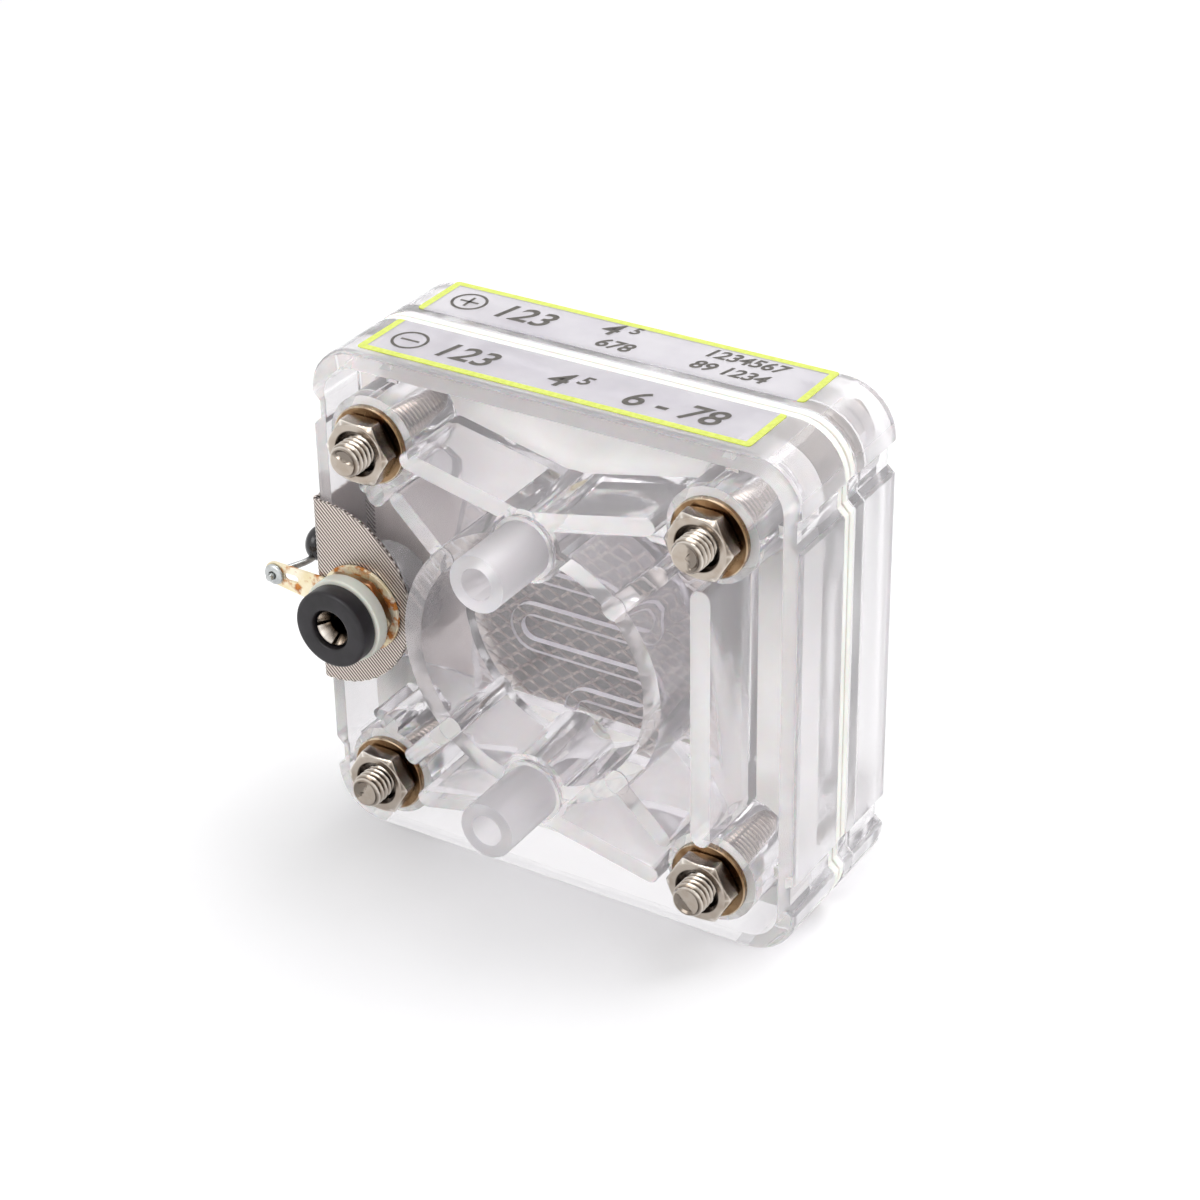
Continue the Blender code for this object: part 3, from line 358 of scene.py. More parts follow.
def wire_cloth(name, side):
    """The strip as a sheet with a woven face on each side.

    Stations follow the folded path in (x, y) and columns go across in z. Every second crossing
    of the grid stands proud, as the wires of a plain weave do. Inside the cell the sheet is
    left plain, and is dark only behind the window. Beyond the centre of the leaf its width
    follows a circle. The cut wire ends fall short of it by a product of two sines of the row."""
    low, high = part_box(name + "_collector")
    half = (high[2] - low[2]) / 2
    middle = (high[2] + low[2]) / 2
    leaf_centre = low[0] + LEAF_STRAIGHT
    leaf_tip = leaf_centre + half
    inner = low[0] + CLOTH_CORE
    stack, leaf = side * STACK_DEPTH, side * LEAF_DEPTH
    folds = [(high[0], stack), (inner, stack), (inner, leaf), (leaf_tip, leaf)]
    bent = soften(folds, FOLD_REACH, FOLD_STEPS)[FOLD_STEPS:-FOLD_STEPS]
    path = np.vstack((folds[:1], bent, folds[-1:]))
    hidden = high[0] - inner - WOVEN_MARGIN
    total = along_path(path, np.array([0.0, 1.0]))[2]
    woven_marks = np.arange(hidden, total + WIRE_PITCH, WIRE_PITCH)
    marks = np.concatenate((np.arange(0, hidden, STACK_STEP), woven_marks))
    places, ways, total = along_path(path, np.minimum(marks, total))
    normals = np.stack((ways[:, 1], -ways[:, 0]), axis=1) * side
    columns = int(2 * half / WIRE_PITCH) // 2 * 2 + 1
    z = np.linspace(-half, half, columns)[None]
    on_leaf = (np.abs(places[:, 1]) > LEAF_SIDE) & (places[:, 0] > leaf_centre)
    beyond = np.where(on_leaf, places[:, 0] - leaf_centre, 0)
    limit = np.sqrt(np.maximum(half**2 - beyond**2, 0))[:, None]
    rows = np.arange(len(marks))[:, None]
    ragged = FRAY * np.abs(np.sin(rows * 2.4) * np.sin(rows * 0.77 + 1))
    z = np.clip(z, -limit + ragged, limit - ragged)
    folded = marks[:, None] >= hidden
    raised = ((rows + np.arange(columns)[None]) % 2) * folded
    # Inside the cell the cloth is dark behind the window, as painted shade, and painted pale beyond
    # it, as painted light.
    away = np.hypot(places[:, :1] - WINDOW_CENTRE[0], z)
    margin = np.clip((away - WINDOW_RADIUS) / MM, 0, 1) * MARGIN_PAINTED_LIGHT
    faces = []
    for face in (1, -1):
        height = face * (CLOTH_CORE / 2 + raised * WIRE_HEIGHT)
        plane = places[:, None] + normals[:, None] * height[..., None]
        faces.append(np.dstack((plane, z + middle)))
    grid = np.concatenate((faces[0], faces[1][:, ::-1]), axis=1)
    # On the leaf the raised crossings take the pale colour as painted highlights and the rest the
    # dark colour as painted shade.
    tone = np.where(folded, raised, margin)
    light_and_wear = np.concatenate((tone, tone[:, ::-1]), axis=1)
    return make_mesh(name + "_wire_cloth", grid, light_and_wear=light_and_wear)


def woven_nickel():
    """Fine woven nickel wire: a pale dot at each raised crossing, a painted highlight, over dark
    brownish-grey painted shade, and pale at the margin as painted light.
    """
    material, shader = start_material("woven_nickel_cloth", Metallic=0.6)
    raised = add_node(material, "ShaderNodeAttribute", attribute_name="light_and_wear").outputs["Fac"]
    stops = ((0.05, "#4C423E"), (0.475, "#8F817B"), (0.9, "#F2EAE3"))
    weave = add_node(material, "ShaderNodeValToRGB", {"Fac": raised}, stops).outputs["Color"]
    join(material, shader, Base_Color=weave)
    uneven_shine(material, shader, 0.28, 0.42, grain=2.0)
    return material


woven = woven_nickel()
for name, side in SIDES:
    add_piece(wire_cloth(name, side), woven, "fine_mesh", name + "_collector")


# Gaskets: two frames cut from a sheet of cream silicone, one each side of the membrane. The
# bolts squeeze them, and their edge shows as the pale line round the middle of the cell.

GASKET_ROUND = 0.12 * MM
FLAT_JOIN = math.radians(1)
CAST_CREASE = math.radians(25)


def rounded_copy(node, name):
    """A copy of a piece of the frame with its flat faces joined, ready for its edges' rounding."""
    shape = bmesh.new()
    shape.from_mesh(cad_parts[node].data)
    bmesh.ops.remove_doubles(shape, verts=shape.verts, dist=2e-6)
    bmesh.ops.dissolve_limit(shape, angle_limit=FLAT_JOIN, verts=shape.verts, edges=shape.edges)
    mesh = bpy.data.meshes.new(name)
    shape.to_mesh(mesh)
    shape.free()
    mesh.shade_smooth()
    mesh.set_sharp_from_angle(angle=CAST_CREASE)
    return mesh


def round_edges(piece, width):
    """A live bevel on the sharp edges, as a mould or a cutter leaves them."""
    bevel = piece.modifiers.new("rounded_edges", "BEVEL")
    bevel.width = width
    bevel.segments = 2
    bevel.limit_method = "ANGLE"
    bevel.angle_limit = CREASE
    bevel.use_clamp_overlap = True
    bevel.harden_normals = True


def cut_silicone():
    """Silicone rubber cut from sheet: cream, soft and slightly translucent."""
    material, shader = start_material(
        "cut_silicone", Roughness=0.5, IOR=1.41, Subsurface_Weight=0.3, Subsurface_Scale=2 * MM
    )
    join(material, shader, Base_Color=mottled(material, "#ECEAE3", "#F7F5F0", grain=5.0))
    surface_grain(material, shader, grain=0.8, depth=0.01)
    return material


silicone = cut_silicone()
for name, side in SIDES:
    node = name + "_gasket"
    mesh = rounded_copy(node, name + "_seal")
    round_edges(add_piece(mesh, silicone, "gasket_rubber", node), GASKET_ROUND)


# Housings: the two clear halves, each injection-moulded in one piece from acrylic, with ring,
# ribs, bosses and hose spigots. The mould left the faces polished, the outer walls satin and the
# spigots frosted. The sides of the serpentine ridge are matt and nearly opaque, painted
# lilac-white as a painted highlight.

MOULD_ROUND = 0.25 * MM
POLISHED = 0.06
SATIN = 0.28
FROSTED = 0.42
FROST_START = 14.9 * MM
FROST_BLEND = 0.3 * MM
SKIN_START = 29.2 * MM
SKIN_BLEND = 0.5 * MM
RIDGE_MIDDLE = 5.0 * MM
RIDGE_SIDE = 0.38 * MM
RIDGE_LIMIT = 13.6 * MM


def clear_acrylic():
    """Moulded acrylic: clear but faintly milky, satin on the outer walls, frosted past the ring.

    Light passes it on the way to a surface in its shade, as through a thin clear sheet."""
    material, shader = start_material(
        "moulded_acrylic", IOR=1.49, Transmission_Weight=0.88, Base_Color=linear("#FEFCFE")
    )
    place = add_node(material, "ShaderNodeTexCoord").outputs["Object"]
    ends = {0: place, 1: WINDOW_CENTRE}
    centred = add_node(material, "ShaderNodeVectorMath", ends, operation="SUBTRACT").outputs[0]
    away = add_node(material, "ShaderNodeVectorMath", {0: centred}, operation="ABSOLUTE")
    parts = add_node(material, "ShaderNodeSeparateXYZ", {"Vector": away.outputs[0]}).outputs
    wall = {0: parts["X"], 1: parts["Z"]}
    wall = add_node(material, "ShaderNodeMath", wall, operation="MAXIMUM").outputs[0]
    skin = {"Value": wall, "To Max": SATIN, "From Min": SKIN_START}
    skin["From Max"] = SKIN_START + SKIN_BLEND
    skin = add_node(material, "ShaderNodeMapRange", skin).outputs["Result"]
    frost = {"Value": parts["Y"], "To Min": POLISHED, "To Max": FROSTED, "From Min": FROST_START}
    frost["From Max"] = FROST_START + FROST_BLEND
    frost = add_node(material, "ShaderNodeMapRange", frost).outputs["Result"]
    matt = add_node(material, "ShaderNodeMath", {0: skin, 1: frost}, operation="MAXIMUM").outputs[0]
    join(material, shader, Roughness=matt)
    surface_grain(material, shader, grain=6.0, depth=0.02, detail=1.0)
    clear = add_node(material, "ShaderNodeBsdfTransparent", {"Color": linear("#F9F8F9")})
    path = add_node(material, "ShaderNodeLightPath")
    layers = {0: path.outputs["Is Shadow Ray"], 1: shader.outputs["BSDF"], 2: clear.outputs["BSDF"]}
    surface = add_node(material, "ShaderNodeMixShader", layers).outputs["Shader"]
    join(material, material.node_tree.nodes["Material Output"], Surface=surface)
    return material


def ridge_highlight_acrylic():
    """The same acrylic on the sloped sides of the ridge: matt, nearly opaque, and painted
    lilac-white as a painted highlight.
    """
    material, shader = start_material(
        "ridge_side_painted_highlight", IOR=1.49, Roughness=0.3, Transmission_Weight=0.2
    )
    join(material, shader, Base_Color=mottled(material, "#F0EBF3", "#FCFAFE", grain=2.0))
    return material


def ridge_sides(mesh):
    """1 for each face on a side of the serpentine ridge, and 0 for every other face.

    The middle of such a face is within RIDGE_SIDE of the ridge's half height, which is
    RIDGE_MIDDLE from the joint, and within RIDGE_LIMIT of the window's axis."""
    middles = np.array([face.center for face in mesh.polygons]) - WINDOW_CENTRE
    upright = np.abs(np.abs(middles[:, 1]) - RIDGE_MIDDLE) < RIDGE_SIDE
    return (upright & (np.hypot(middles[:, 0], middles[:, 2]) < RIDGE_LIMIT)).astype(int)


acrylic = clear_acrylic()
ridge_highlight = ridge_highlight_acrylic()
for name, side in SIDES:
    node = name + "_housing"
    mesh = rounded_copy(node, name + "_moulding")
    round_edges(add_piece(mesh, acrylic, "clear_plastic", node), MOULD_ROUND)
    # The sides of the ridge take the painted highlight.
    mesh.materials.append(ridge_highlight)
    mesh.polygons.foreach_set("material_index", ridge_sides(mesh))


# Bolt sets: four hexagon bolts from the back, each with a flat washer and a nut at the front.
# Nickel-plated steel, with the thread rolled its full length and tarnish in patches; its hollows
# carry painted shade and its faces to the upper right a painted dark reflection.

THREAD_PITCH = 0.7 * MM
THREAD_HEIGHT = 0.45 * MM
THREAD_ROWS = 10
THREAD_SLOPE = 2.6
THREAD_CREST = 0.15
BOLT_SIDES = 36
BOLT_RADIUS = 1.95 * MM
TIP_CHAMFER = 0.5 * MM
TIP_SLOPE = 0.7
END_RINGS = (0, 0.3, 0.55, 0.8, 0.96)
SHEAR_CHORD = 0.12
SHEAR_STEP = 0.2 * MM
SHANK_OVERLAP = 0.5 * MM
BOLT_TURN = 1.3
HEAD_HEIGHT = 2.8 * MM
HEX_FLATS = 7.0 * MM
HEX_STEP = 0.12 * MM
HEX_SOFTNESS = 90
CHAMFER_START = 0.96
CHAMFER_SLOPE = 0.55
WASHER_BORE = 2.15 * MM
WASHER_ROUND = 0.2 * MM
WASHER_EDGE = 0.15 * MM
NUT_HOLE = 2.0 * MM
NUT_SINK = 0.6 * MM
STEPS_ROUND = 96
PLAIN = 0.5
RIDGE_RUB = 0.09 * MM
CORNER_RUB = 0.1 * MM
HOLE_SHADE = 0.4
# How far, and towards which angle, sides are darkened: a painted dark reflection on nuts and bolt
# heads, painted shade on washers.
DARK_SIDE_DEPTH = 0.42
DARK_SIDE_ANGLE = math.radians(35)
CORNERS = ("upper_right", "upper_left", "lower_left", "lower_right")


def turned(profile, centre, sides, radius_limit=None):
    """Places of a profile of (radius, depth) turned about an axis along y.

    Where radius_limit gives a radius for each angle, every radius is cut down to it, which
    leaves what a turned form and a prism have in common, such as a chamfered hexagon."""
    angle = np.linspace(0, 2 * math.pi, sides, endpoint=False)
    radius = profile[:, 0][:, None] + 0 * angle[None]
    if radius_limit is not None:
        radius = np.minimum(radius, radius_limit[None])
    depth = profile[:, 1][:, None] + 0 * angle[None]
    x = centre[0] + radius * np.cos(angle)
    z = centre[1] + radius * np.sin(angle)
    return np.stack((x, depth, z), axis=-1)


def hexagon_radius(across_flats):
    """The radius of a hexagon at each angle, with its corners eased by a high power mean."""
    angle = np.linspace(0, 2 * math.pi, STEPS_ROUND, endpoint=False)
    flats = np.radians(np.arange(30, 390, 60))
    facing = np.maximum(np.cos(angle[:, None] - flats[None]), 0)
    return across_flats / 2 / (facing**HEX_SOFTNESS).sum(axis=1) ** (1 / HEX_SOFTNESS)


def subdivided(points, step):
    """An outline with extra points, so that none lies more than step from the next."""
    points = np.array(points, float)
    pieces = []
    for start, end in zip(points, points[1:]):
        count = max(int(np.linalg.norm(end - start) / step), 1)
        pieces.append(start + (end - start) * (np.arange(count) / count)[:, None])
    return np.vstack(pieces + [points[-1:]])


def middle_of(node):
    """The middle of a node's box, seen along y."""
    low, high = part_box(node)
    return (low[0] + high[0]) / 2, (low[2] + high[2]) / 2


def rim_of(node):
    """The radius of a round node, from its box."""
    low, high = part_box(node)
    return (high[0] - low[0]) / 2


def flat_ring(node, bore, reach):
    """The places of a turned ring that fills its node's box, with its edges rounded."""
    low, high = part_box(node)
    rim = rim_of(node)
    section = [(bore, low[1]), (rim, low[1]), (rim, high[1]), (bore, high[1])]
    return turned(soften(section, reach), middle_of(node), STEPS_ROUND)


def hex_block(centre, near, far, hole, sink, across_flats):
    """The places and the light_and_wear values of a hexagon whose faces are turned to a chamfer,
    with a sunk hole.

    The value is 0.5 on plain metal and rises to 1 as an exponential towards the rubbed ridges. It
    falls towards 0 in the hole, as painted shade, and by the square of a cosine on the flats that
    face up and to the right, as a painted dark reflection."""
    corner = across_flats / math.sqrt(3)
    flat = across_flats / 2 * CHAMFER_START
    drop = (corner - flat) * CHAMFER_SLOPE
    outline = [
        (hole, near + sink),
        (hole + sink, near),
        (flat, near),
        (corner, near + drop),
        (corner, far - drop),
        (flat, far),
        (hole + sink, far),
        (hole, far - sink),
    ]
    profile = subdivided(outline, HEX_STEP)
    limit = hexagon_radius(across_flats)[None]
    radius = profile[:, :1]
    angle = np.linspace(0, 2 * math.pi, STEPS_ROUND, endpoint=False)[None]
    ridge = np.exp(-np.abs(radius - limit) / RIDGE_RUB) * (radius < corner * 0.999)
    upright = np.exp((limit - corner) / CORNER_RUB) * (radius > flat)
    painted_dark_side = np.maximum(np.cos(angle - DARK_SIDE_ANGLE), 0) ** 2 * (radius > flat)
    inside = (radius < hole + sink * 1.01) * (hole > 0)
    rubbed = (1 - PLAIN) * np.clip(ridge + upright, 0, 1)
    light_and_wear = PLAIN + rubbed - DARK_SIDE_DEPTH * painted_dark_side - HOLE_SHADE * inside
    return turned(profile, centre, STEPS_ROUND, limit[0]), np.clip(light_and_wear, 0, 1)


def threaded_shank(centre, tip, seat, turn):
    """A rod whose radius falls and rises as a triangle wave that climbs one pitch a turn.

    Its flat end steps down over one side of a chord, where the blank was sheared."""
    rows = int((seat - tip) / THREAD_PITCH * THREAD_ROWS)
    depth = np.linspace(tip, seat, rows)[:, None]
    angle = np.linspace(0, 2 * math.pi, BOLT_SIDES, endpoint=False)[None]
    climb = ((depth - tip) / THREAD_PITCH + angle / (2 * math.pi)) % 1
    tooth = np.clip(THREAD_SLOPE * np.abs(climb - 0.5) - THREAD_CREST, 0, 1)
    chamfer = TIP_SLOPE * np.maximum(TIP_CHAMFER - (depth - tip), 0)
    radius = np.minimum(BOLT_RADIUS - THREAD_HEIGHT * tooth, BOLT_RADIUS - chamfer)
    inset = np.array(END_RINGS)[:, None] * radius[0].min()
    sheared = inset * np.cos(angle - turn) > SHEAR_CHORD * BOLT_RADIUS
    end = tip + SHEAR_STEP * sheared * (inset < 0.9 * radius[0].min())
    radius = np.vstack((inset + 0 * angle, radius))
    depth = np.vstack((end + 0 * angle, depth + 0 * angle))
    x = centre[0] + radius * np.cos(angle)
    z = centre[1] + radius * np.sin(angle)
    # The thread's valleys are darkened as painted shade and its crests lightened as a painted
    # highlight; the sheared half of the end is a little darker.
    light_and_wear = np.vstack((np.full(end.shape, PLAIN) - 0.25 * sheared, 0.05 + 0.65 * (1 - tooth)))
    return np.stack((x, depth, z), axis=-1), light_and_wear


def bolt_mesh(name, node, turn):
    """The hexagon head and the threaded shank of a bolt."""
    low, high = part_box(node)
    centre = middle_of(node)
    seat = high[1] - HEAD_HEIGHT
    head, head_light_and_wear = hex_block(centre, seat, high[1], 0.0, 0.0, HEX_FLATS)
    shank, shank_light_and_wear = threaded_shank(centre, low[1], seat + SHANK_OVERLAP, turn)
    parts = [make_mesh(name, head, light_and_wear=head_light_and_wear), make_mesh(name, shank, light_and_wear=shank_light_and_wear)]
    return joined(name, parts)


def painted_light_worn_metal(name, colours, stain, tarnish, roughness):
    """Metal with a colour for painted shade in its hollows, one for its plain faces and one for its
    rubbed edges.

    The stain lies over it in patches, as strong as tarnish says. Roughness is its two ends."""
    material, shader = start_material(name, Metallic=1.0)
    light_and_wear_level = add_node(material, "ShaderNodeAttribute", attribute_name="light_and_wear").outputs["Fac"]
    patch = blotches(material, grain=1.6, detail=4.0)
    patch = {"Value": patch, "From Min": 0.45, "From Max": 0.7, "To Max": tarnish}
    patch = add_node(material, "ShaderNodeMapRange", patch).outputs["Result"]
    stops = zip((0.05, 0.5, 0.95), colours)
    plain = add_node(material, "ShaderNodeValToRGB", {"Fac": light_and_wear_level}, stops).outputs["Color"]
    layers = {"Factor": patch, 6: plain, 7: linear(stain)}
    tone = add_node(material, "ShaderNodeMix", layers, data_type="RGBA").outputs[2]
    join(material, shader, Base_Color=tone)
    uneven_shine(material, shader, *roughness, grain=0.9)
    surface_grain(material, shader, grain=0.35, depth=0.006)
    return material


# The first colour of each such metal is painted shade: thread valleys, holes, saw cuts and the
# darkened side.
nickel = painted_light_worn_metal(
    "nickel_plated_steel", ("#2B2019", "#B3A99E", "#F7F2EB"), "#7A5C3C", 0.25, (0.12, 0.28)
)
browned = painted_light_worn_metal(
    "browned_washer_steel", ("#22150D", "#93785A", "#DDD0BC"), "#5E3B1E", 0.7, (0.16, 0.34)
)
for number, corner in enumerate(CORNERS):
    node = "bolt_" + corner
    mesh = bolt_mesh("threaded_" + node, node, BOLT_TURN * number)
    add_piece(mesh, nickel, "nickel_steel", node)
    node = "washer_" + corner
    places = flat_ring(node, WASHER_BORE, WASHER_ROUND)
    away = np.hypot(places[..., 0] - middle_of(node)[0], places[..., 2] - middle_of(node)[1])
    edge = away > rim_of(node) - WASHER_EDGE
    # Each washer is a little lighter at its rim and darker on the side towards the upper right,
    # which is painted shade.
    painted_dark_side = np.cos(np.linspace(0, 2 * math.pi, STEPS_ROUND, endpoint=False) - DARK_SIDE_ANGLE)
    light_and_wear = PLAIN + 0.4 * edge - 0.45 * np.maximum(painted_dark_side, 0) ** 2
    mesh = make_mesh("flat_" + node, places, closed_rows=True, light_and_wear=light_and_wear)
    add_piece(mesh, browned, "washer_steel", node)
    node = "nut_" + corner
    low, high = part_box(node)
    places, light_and_wear = hex_block(middle_of(node), low[1], high[1], NUT_HOLE, NUT_SINK, HEX_FLATS)
    mesh = make_mesh("hexagon_" + node, places, closed_rows=True, light_and_wear=light_and_wear)
    add_piece(mesh, nickel, "nickel_steel", node)


# Sockets: one on each leaf. A gilt solder lug and a hexagon nut clamp the mesh, and behind a
# black moulded head an off-white insulator sits on the nut. Rust has crept over lug and nut.

LUG_ROUND = 0.06 * MM
SOCKET_FLATS = 8.6 * MM
SOCKET_SINK = 0.2 * MM
INSULATOR_ROUND = 0.25 * MM
HEAD_MOUTH = 2.35 * MM
HEAD_FLOOR = 0.8 * MM
HEAD_ROUND = np.array((0.05, 0.2, 0.5, 0.3, 0.1, 0.05)) * MM
CONTACT_HOLE = 1.85 * MM
CONTACT_RADIUS = 1.75 * MM
CONTACT_RIM = 0.8 * MM
RIM_BEVEL = (0.1 * MM, 0.08 * MM)
CONTACT_BORE = 1.15 * MM
BORE_DEPTH = 6.5 * MM
CONE_DEPTH = 1.4 * MM
SAW_DEPTH = 2.4 * MM
SAW_CUT = 0.35 * MM
SAW_WIDTH = 0.16
SOLDER_HOLE = 0.45 * MM
SOLDER_ROUND = 0.25 * MM
SOLDER_SIDES = 48


def corroded_gilt():
    """Gilt brass gone dull: pale cream gold, with orange rust spreading from the clamped joint."""
    material, shader = start_material("corroded_gilt_brass", Metallic=0.45)
    gold = mottled(material, "#E4D3A6", "#F4ECD6", grain=2.5, low=0.35, high=0.65)
    rust = mottled(material, "#8E4214", "#D08A42", grain=0.7)
    patch = blotches(material, grain=1.4, detail=5.0)
    patch = {"Value": patch, "From Min": 0.52, "From Max": 0.63}
    patch = add_node(material, "ShaderNodeMapRange", patch).outputs["Result"]
    layers = {"Factor": patch, 6: gold, 7: rust}
    tone = add_node(material, "ShaderNodeMix", layers, data_type="RGBA").outputs[2]
    dull = {"Value": patch, "To Min": 0.3, "To Max": 0.75}
    dull = add_node(material, "ShaderNodeMapRange", dull).outputs["Result"]
    join(material, shader, Base_Color=tone, Roughness=dull)
    surface_grain(material, shader, grain=0.4, depth=0.03)
    return material


def moulded_nylon():
    """Moulded nylon: off-white, waxy and faintly translucent."""
    material, shader = start_material(
        "moulded_nylon", Roughness=0.42, IOR=1.53, Subsurface_Weight=0.2, Subsurface_Scale=1 * MM
    )
    join(material, shader, Base_Color=mottled(material, "#C9CABF", "#D8DAD0", grain=3.0))
    surface_grain(material, shader, grain=0.5, depth=0.008)
    return material


def black_plastic():
    """Black moulded plastic: satin, with a fine spark-eroded grain."""
    material, shader = start_material("black_moulded_plastic", IOR=1.45)
    join(material, shader, Base_Color=mottled(material, "#100E10", "#1F1B20", grain=1.5))
    uneven_shine(material, shader, 0.34, 0.5, grain=0.8)
    surface_grain(material, shader, grain=0.18, depth=0.006)
    return material


def bare_metal(name, colours, roughness):
    """Bright bare metal, a little uneven in tone and shine."""
    material, shader = start_material(name, Metallic=1.0)
    join(material, shader, Base_Color=mottled(material, *colours, grain=0.9))
    uneven_shine(material, shader, *roughness, grain=0.9)
    surface_grain(material, shader, grain=0.3, depth=0.006)
    return material


def ends_of(node, side):
    """A node's depth at its outer end, away from the middle of the cell, and at its inner end."""
    low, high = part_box(node)
    return (low[1], high[1]) if side == FRONT else (high[1], low[1])


def split_contact(name, side, node):
    """A rod with a rim, bored, with its mouth opened to a cone and sawn four times.

    The form is turned. In four narrow sectors the cone and the bore are pushed outwards, which
    leaves the saw cuts. Light_and_wear is 0 in the bore and lowered in the saw cuts, as painted
    shade, and rises along the cone to 1 at its mouth, as a painted highlight."""
    face, back = ends_of(node, side)
    rim = rim_of(node)
    shoulder = face - side * CONTACT_RIM
    bottom = face - side * BORE_DEPTH
    steps = [
        (0, back),
        (CONTACT_RADIUS, back),
        (CONTACT_RADIUS, shoulder),
        (rim, shoulder),
        (rim, face - side * RIM_BEVEL[1]),
        (rim - RIM_BEVEL[0], face),
        (CONTACT_BORE, face - side * CONE_DEPTH),
        (CONTACT_BORE, bottom),
        (0, bottom),
    ]
    profile = subdivided(steps, 0.2 * MM)
    first = np.argmax(np.abs(profile[:, 1] - face) < 1e-7)
    inner = (np.arange(len(profile)) > first) & (profile[:, 0] > 0.5 * CONTACT_BORE)
    inner &= np.abs(profile[:, 1] - face) < SAW_DEPTH
    angle = np.linspace(0, 2 * math.pi, STEPS_ROUND, endpoint=False)
    sawn = np.abs(np.sin(2 * angle)) < SAW_WIDTH
    places = turned(profile, middle_of(node), STEPS_ROUND)
    centre = np.array((middle_of(node)[0], 0, middle_of(node)[1]))
    outwards = places - centre
    outwards[..., 1] = 0
    push = SAW_CUT * inner[:, None] * sawn[None]
    radius = np.maximum(profile[:, :1], 0.1 * MM)
    places = places + outwards / radius[..., None] * push[..., None]
    depth_in = np.abs(profile[:, 1] - face) / CONE_DEPTH
    light_and_wear = np.where(np.arange(len(profile)) > first, 1 - depth_in, 0.6)
    light_and_wear = np.clip(light_and_wear[:, None] - 0.7 * (push > 0), 0, 1)
    return make_mesh(name, places, light_and_wear=light_and_wear)


gilt = corroded_gilt()
# In the rusted nut and the contact the first colour is painted shade as well.
rusted = painted_light_worn_metal(
    "rusted_nut_brass", ("#5A3E22", "#948770", "#D2C3A8"), "#A9602A", 0.75, (0.28, 0.5)
)
nylon = moulded_nylon()
black = black_plastic()
bright = painted_light_worn_metal(
    "turned_nickel_silver", ("#17110D", "#A69C92", "#F7F0E8"), "#8A7458", 0.3, (0.12, 0.25)
)
solder = bare_metal("tin_solder", ("#A9ACAC", "#CDD0CF"), (0.22, 0.4))
for name, side in SIDES:
    node = name + "_solder_lug"
    mesh = rounded_copy(node, name + "_lug_plate")
    round_edges(add_piece(mesh, gilt, "lug_metal", node), LUG_ROUND)
    node = name + "_socket_nut"
    near, far = ends_of(node, FRONT)
    places, light_and_wear = hex_block(middle_of(node), near, far, CONTACT_HOLE, SOCKET_SINK, SOCKET_FLATS)
    mesh = make_mesh(name + "_hexagon_nut", places, closed_rows=True, light_and_wear=light_and_wear)
    add_piece(mesh, rusted, "socket_nut_metal", node)
    node = name + "_insulator"
    places = flat_ring(node, CONTACT_HOLE, INSULATOR_ROUND)
    mesh = make_mesh(name + "_insulating_ring", places, closed_rows=True)
    add_piece(mesh, nylon, "insulator_plastic", node)
    node = name + "_socket_head"
    rim = rim_of(node)
    face, back = ends_of(node, side)
    floor = back + side * HEAD_FLOOR
    section = [
        (CONTACT_HOLE, back),
        (rim, back),
        (rim, face),
        (HEAD_MOUTH, face),
        (HEAD_MOUTH, floor),
        (CONTACT_HOLE, floor),
    ]
    places = turned(soften(section, HEAD_ROUND), middle_of(node), STEPS_ROUND)
    mesh = make_mesh(name + "_head_cap", places, closed_rows=True)
    add_piece(mesh, black, "black_plastic", node)
    node = name + "_contact"
    add_piece(split_contact(name + "_split_contact", side, node), bright, "contact_metal", node)
    node = name + "_solder_joint"
    rim = rim_of(node)
    top, base = ends_of(node, side)
    waist = base * 0.4 + top * 0.6
    section = [(SOLDER_HOLE, base), (rim, base), (rim * 0.9, waist), (SOLDER_HOLE, top)]
    places = turned(soften(section, SOLDER_ROUND), middle_of(node), SOLDER_SIDES)
    mesh = make_mesh(name + "_solder_fillet", places, closed_rows=True)
    add_piece(mesh, solder, "solder", node)


# Protection bead: a small black epoxy-dipped part wired across the two lugs behind the leaf,
# with a bare tinned wire to each. It was dipped, so it is a smooth flattened drop.

BEAD_RINGS = 33
BEAD_SIDES = 64
WIRE_SIDES = 20
WIRE_RADIUS = 0.4 * MM
WIRE_STATIONS = 40
BEND_SPEED = 1.35
BEND_DELAY = 0.15


def wire_places(path, radius):
    """A round wire: a circle carried along a path that runs mostly along y."""
    path = np.array(path, float)
    ways = np.gradient(path, axis=0)
    ways /= np.linalg.norm(ways, axis=1, keepdims=True)
    across = np.cross(ways, (0, 0, 1))
    across /= np.linalg.norm(across, axis=1, keepdims=True)
    up = np.cross(across, ways)
    angle = np.linspace(0, 2 * math.pi, WIRE_SIDES, endpoint=False)
    cosine, sine = np.cos(angle)[:, None], np.sin(angle)[:, None]
    return path[:, None] + radius * (cosine * across[:, None] + sine * up[:, None])


def dipped_epoxy():
    """Dipped epoxy: black, glossy and gently uneven."""
    material, shader = start_material("dipped_epoxy", Roughness=0.22, IOR=1.55)
    join(material, shader, Base_Color=mottled(material, "#0F0E10", "#262428", grain=1.2))
    surface_grain(material, shader, grain=1.0, depth=0.05)
    return material


low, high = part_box("protection_bead")
middle = (low + high) / 2
half = (high - low) / 2
turn = np.linspace(-math.pi / 2, math.pi / 2, BEAD_RINGS)
profile = np.stack((np.cos(turn), np.sin(turn)), axis=1)
drop = turned(profile, (0, 0), BEAD_SIDES)
places = np.array(middle) + drop * np.array(half)
bead = make_mesh("epoxy_bead", places)
add_piece(bead, dipped_epoxy(), "black_plastic", "protection_bead")

tinned = bare_metal("tinned_copper_wire", ("#A5A7A6", "#C9CBCA"), (0.25, 0.42))
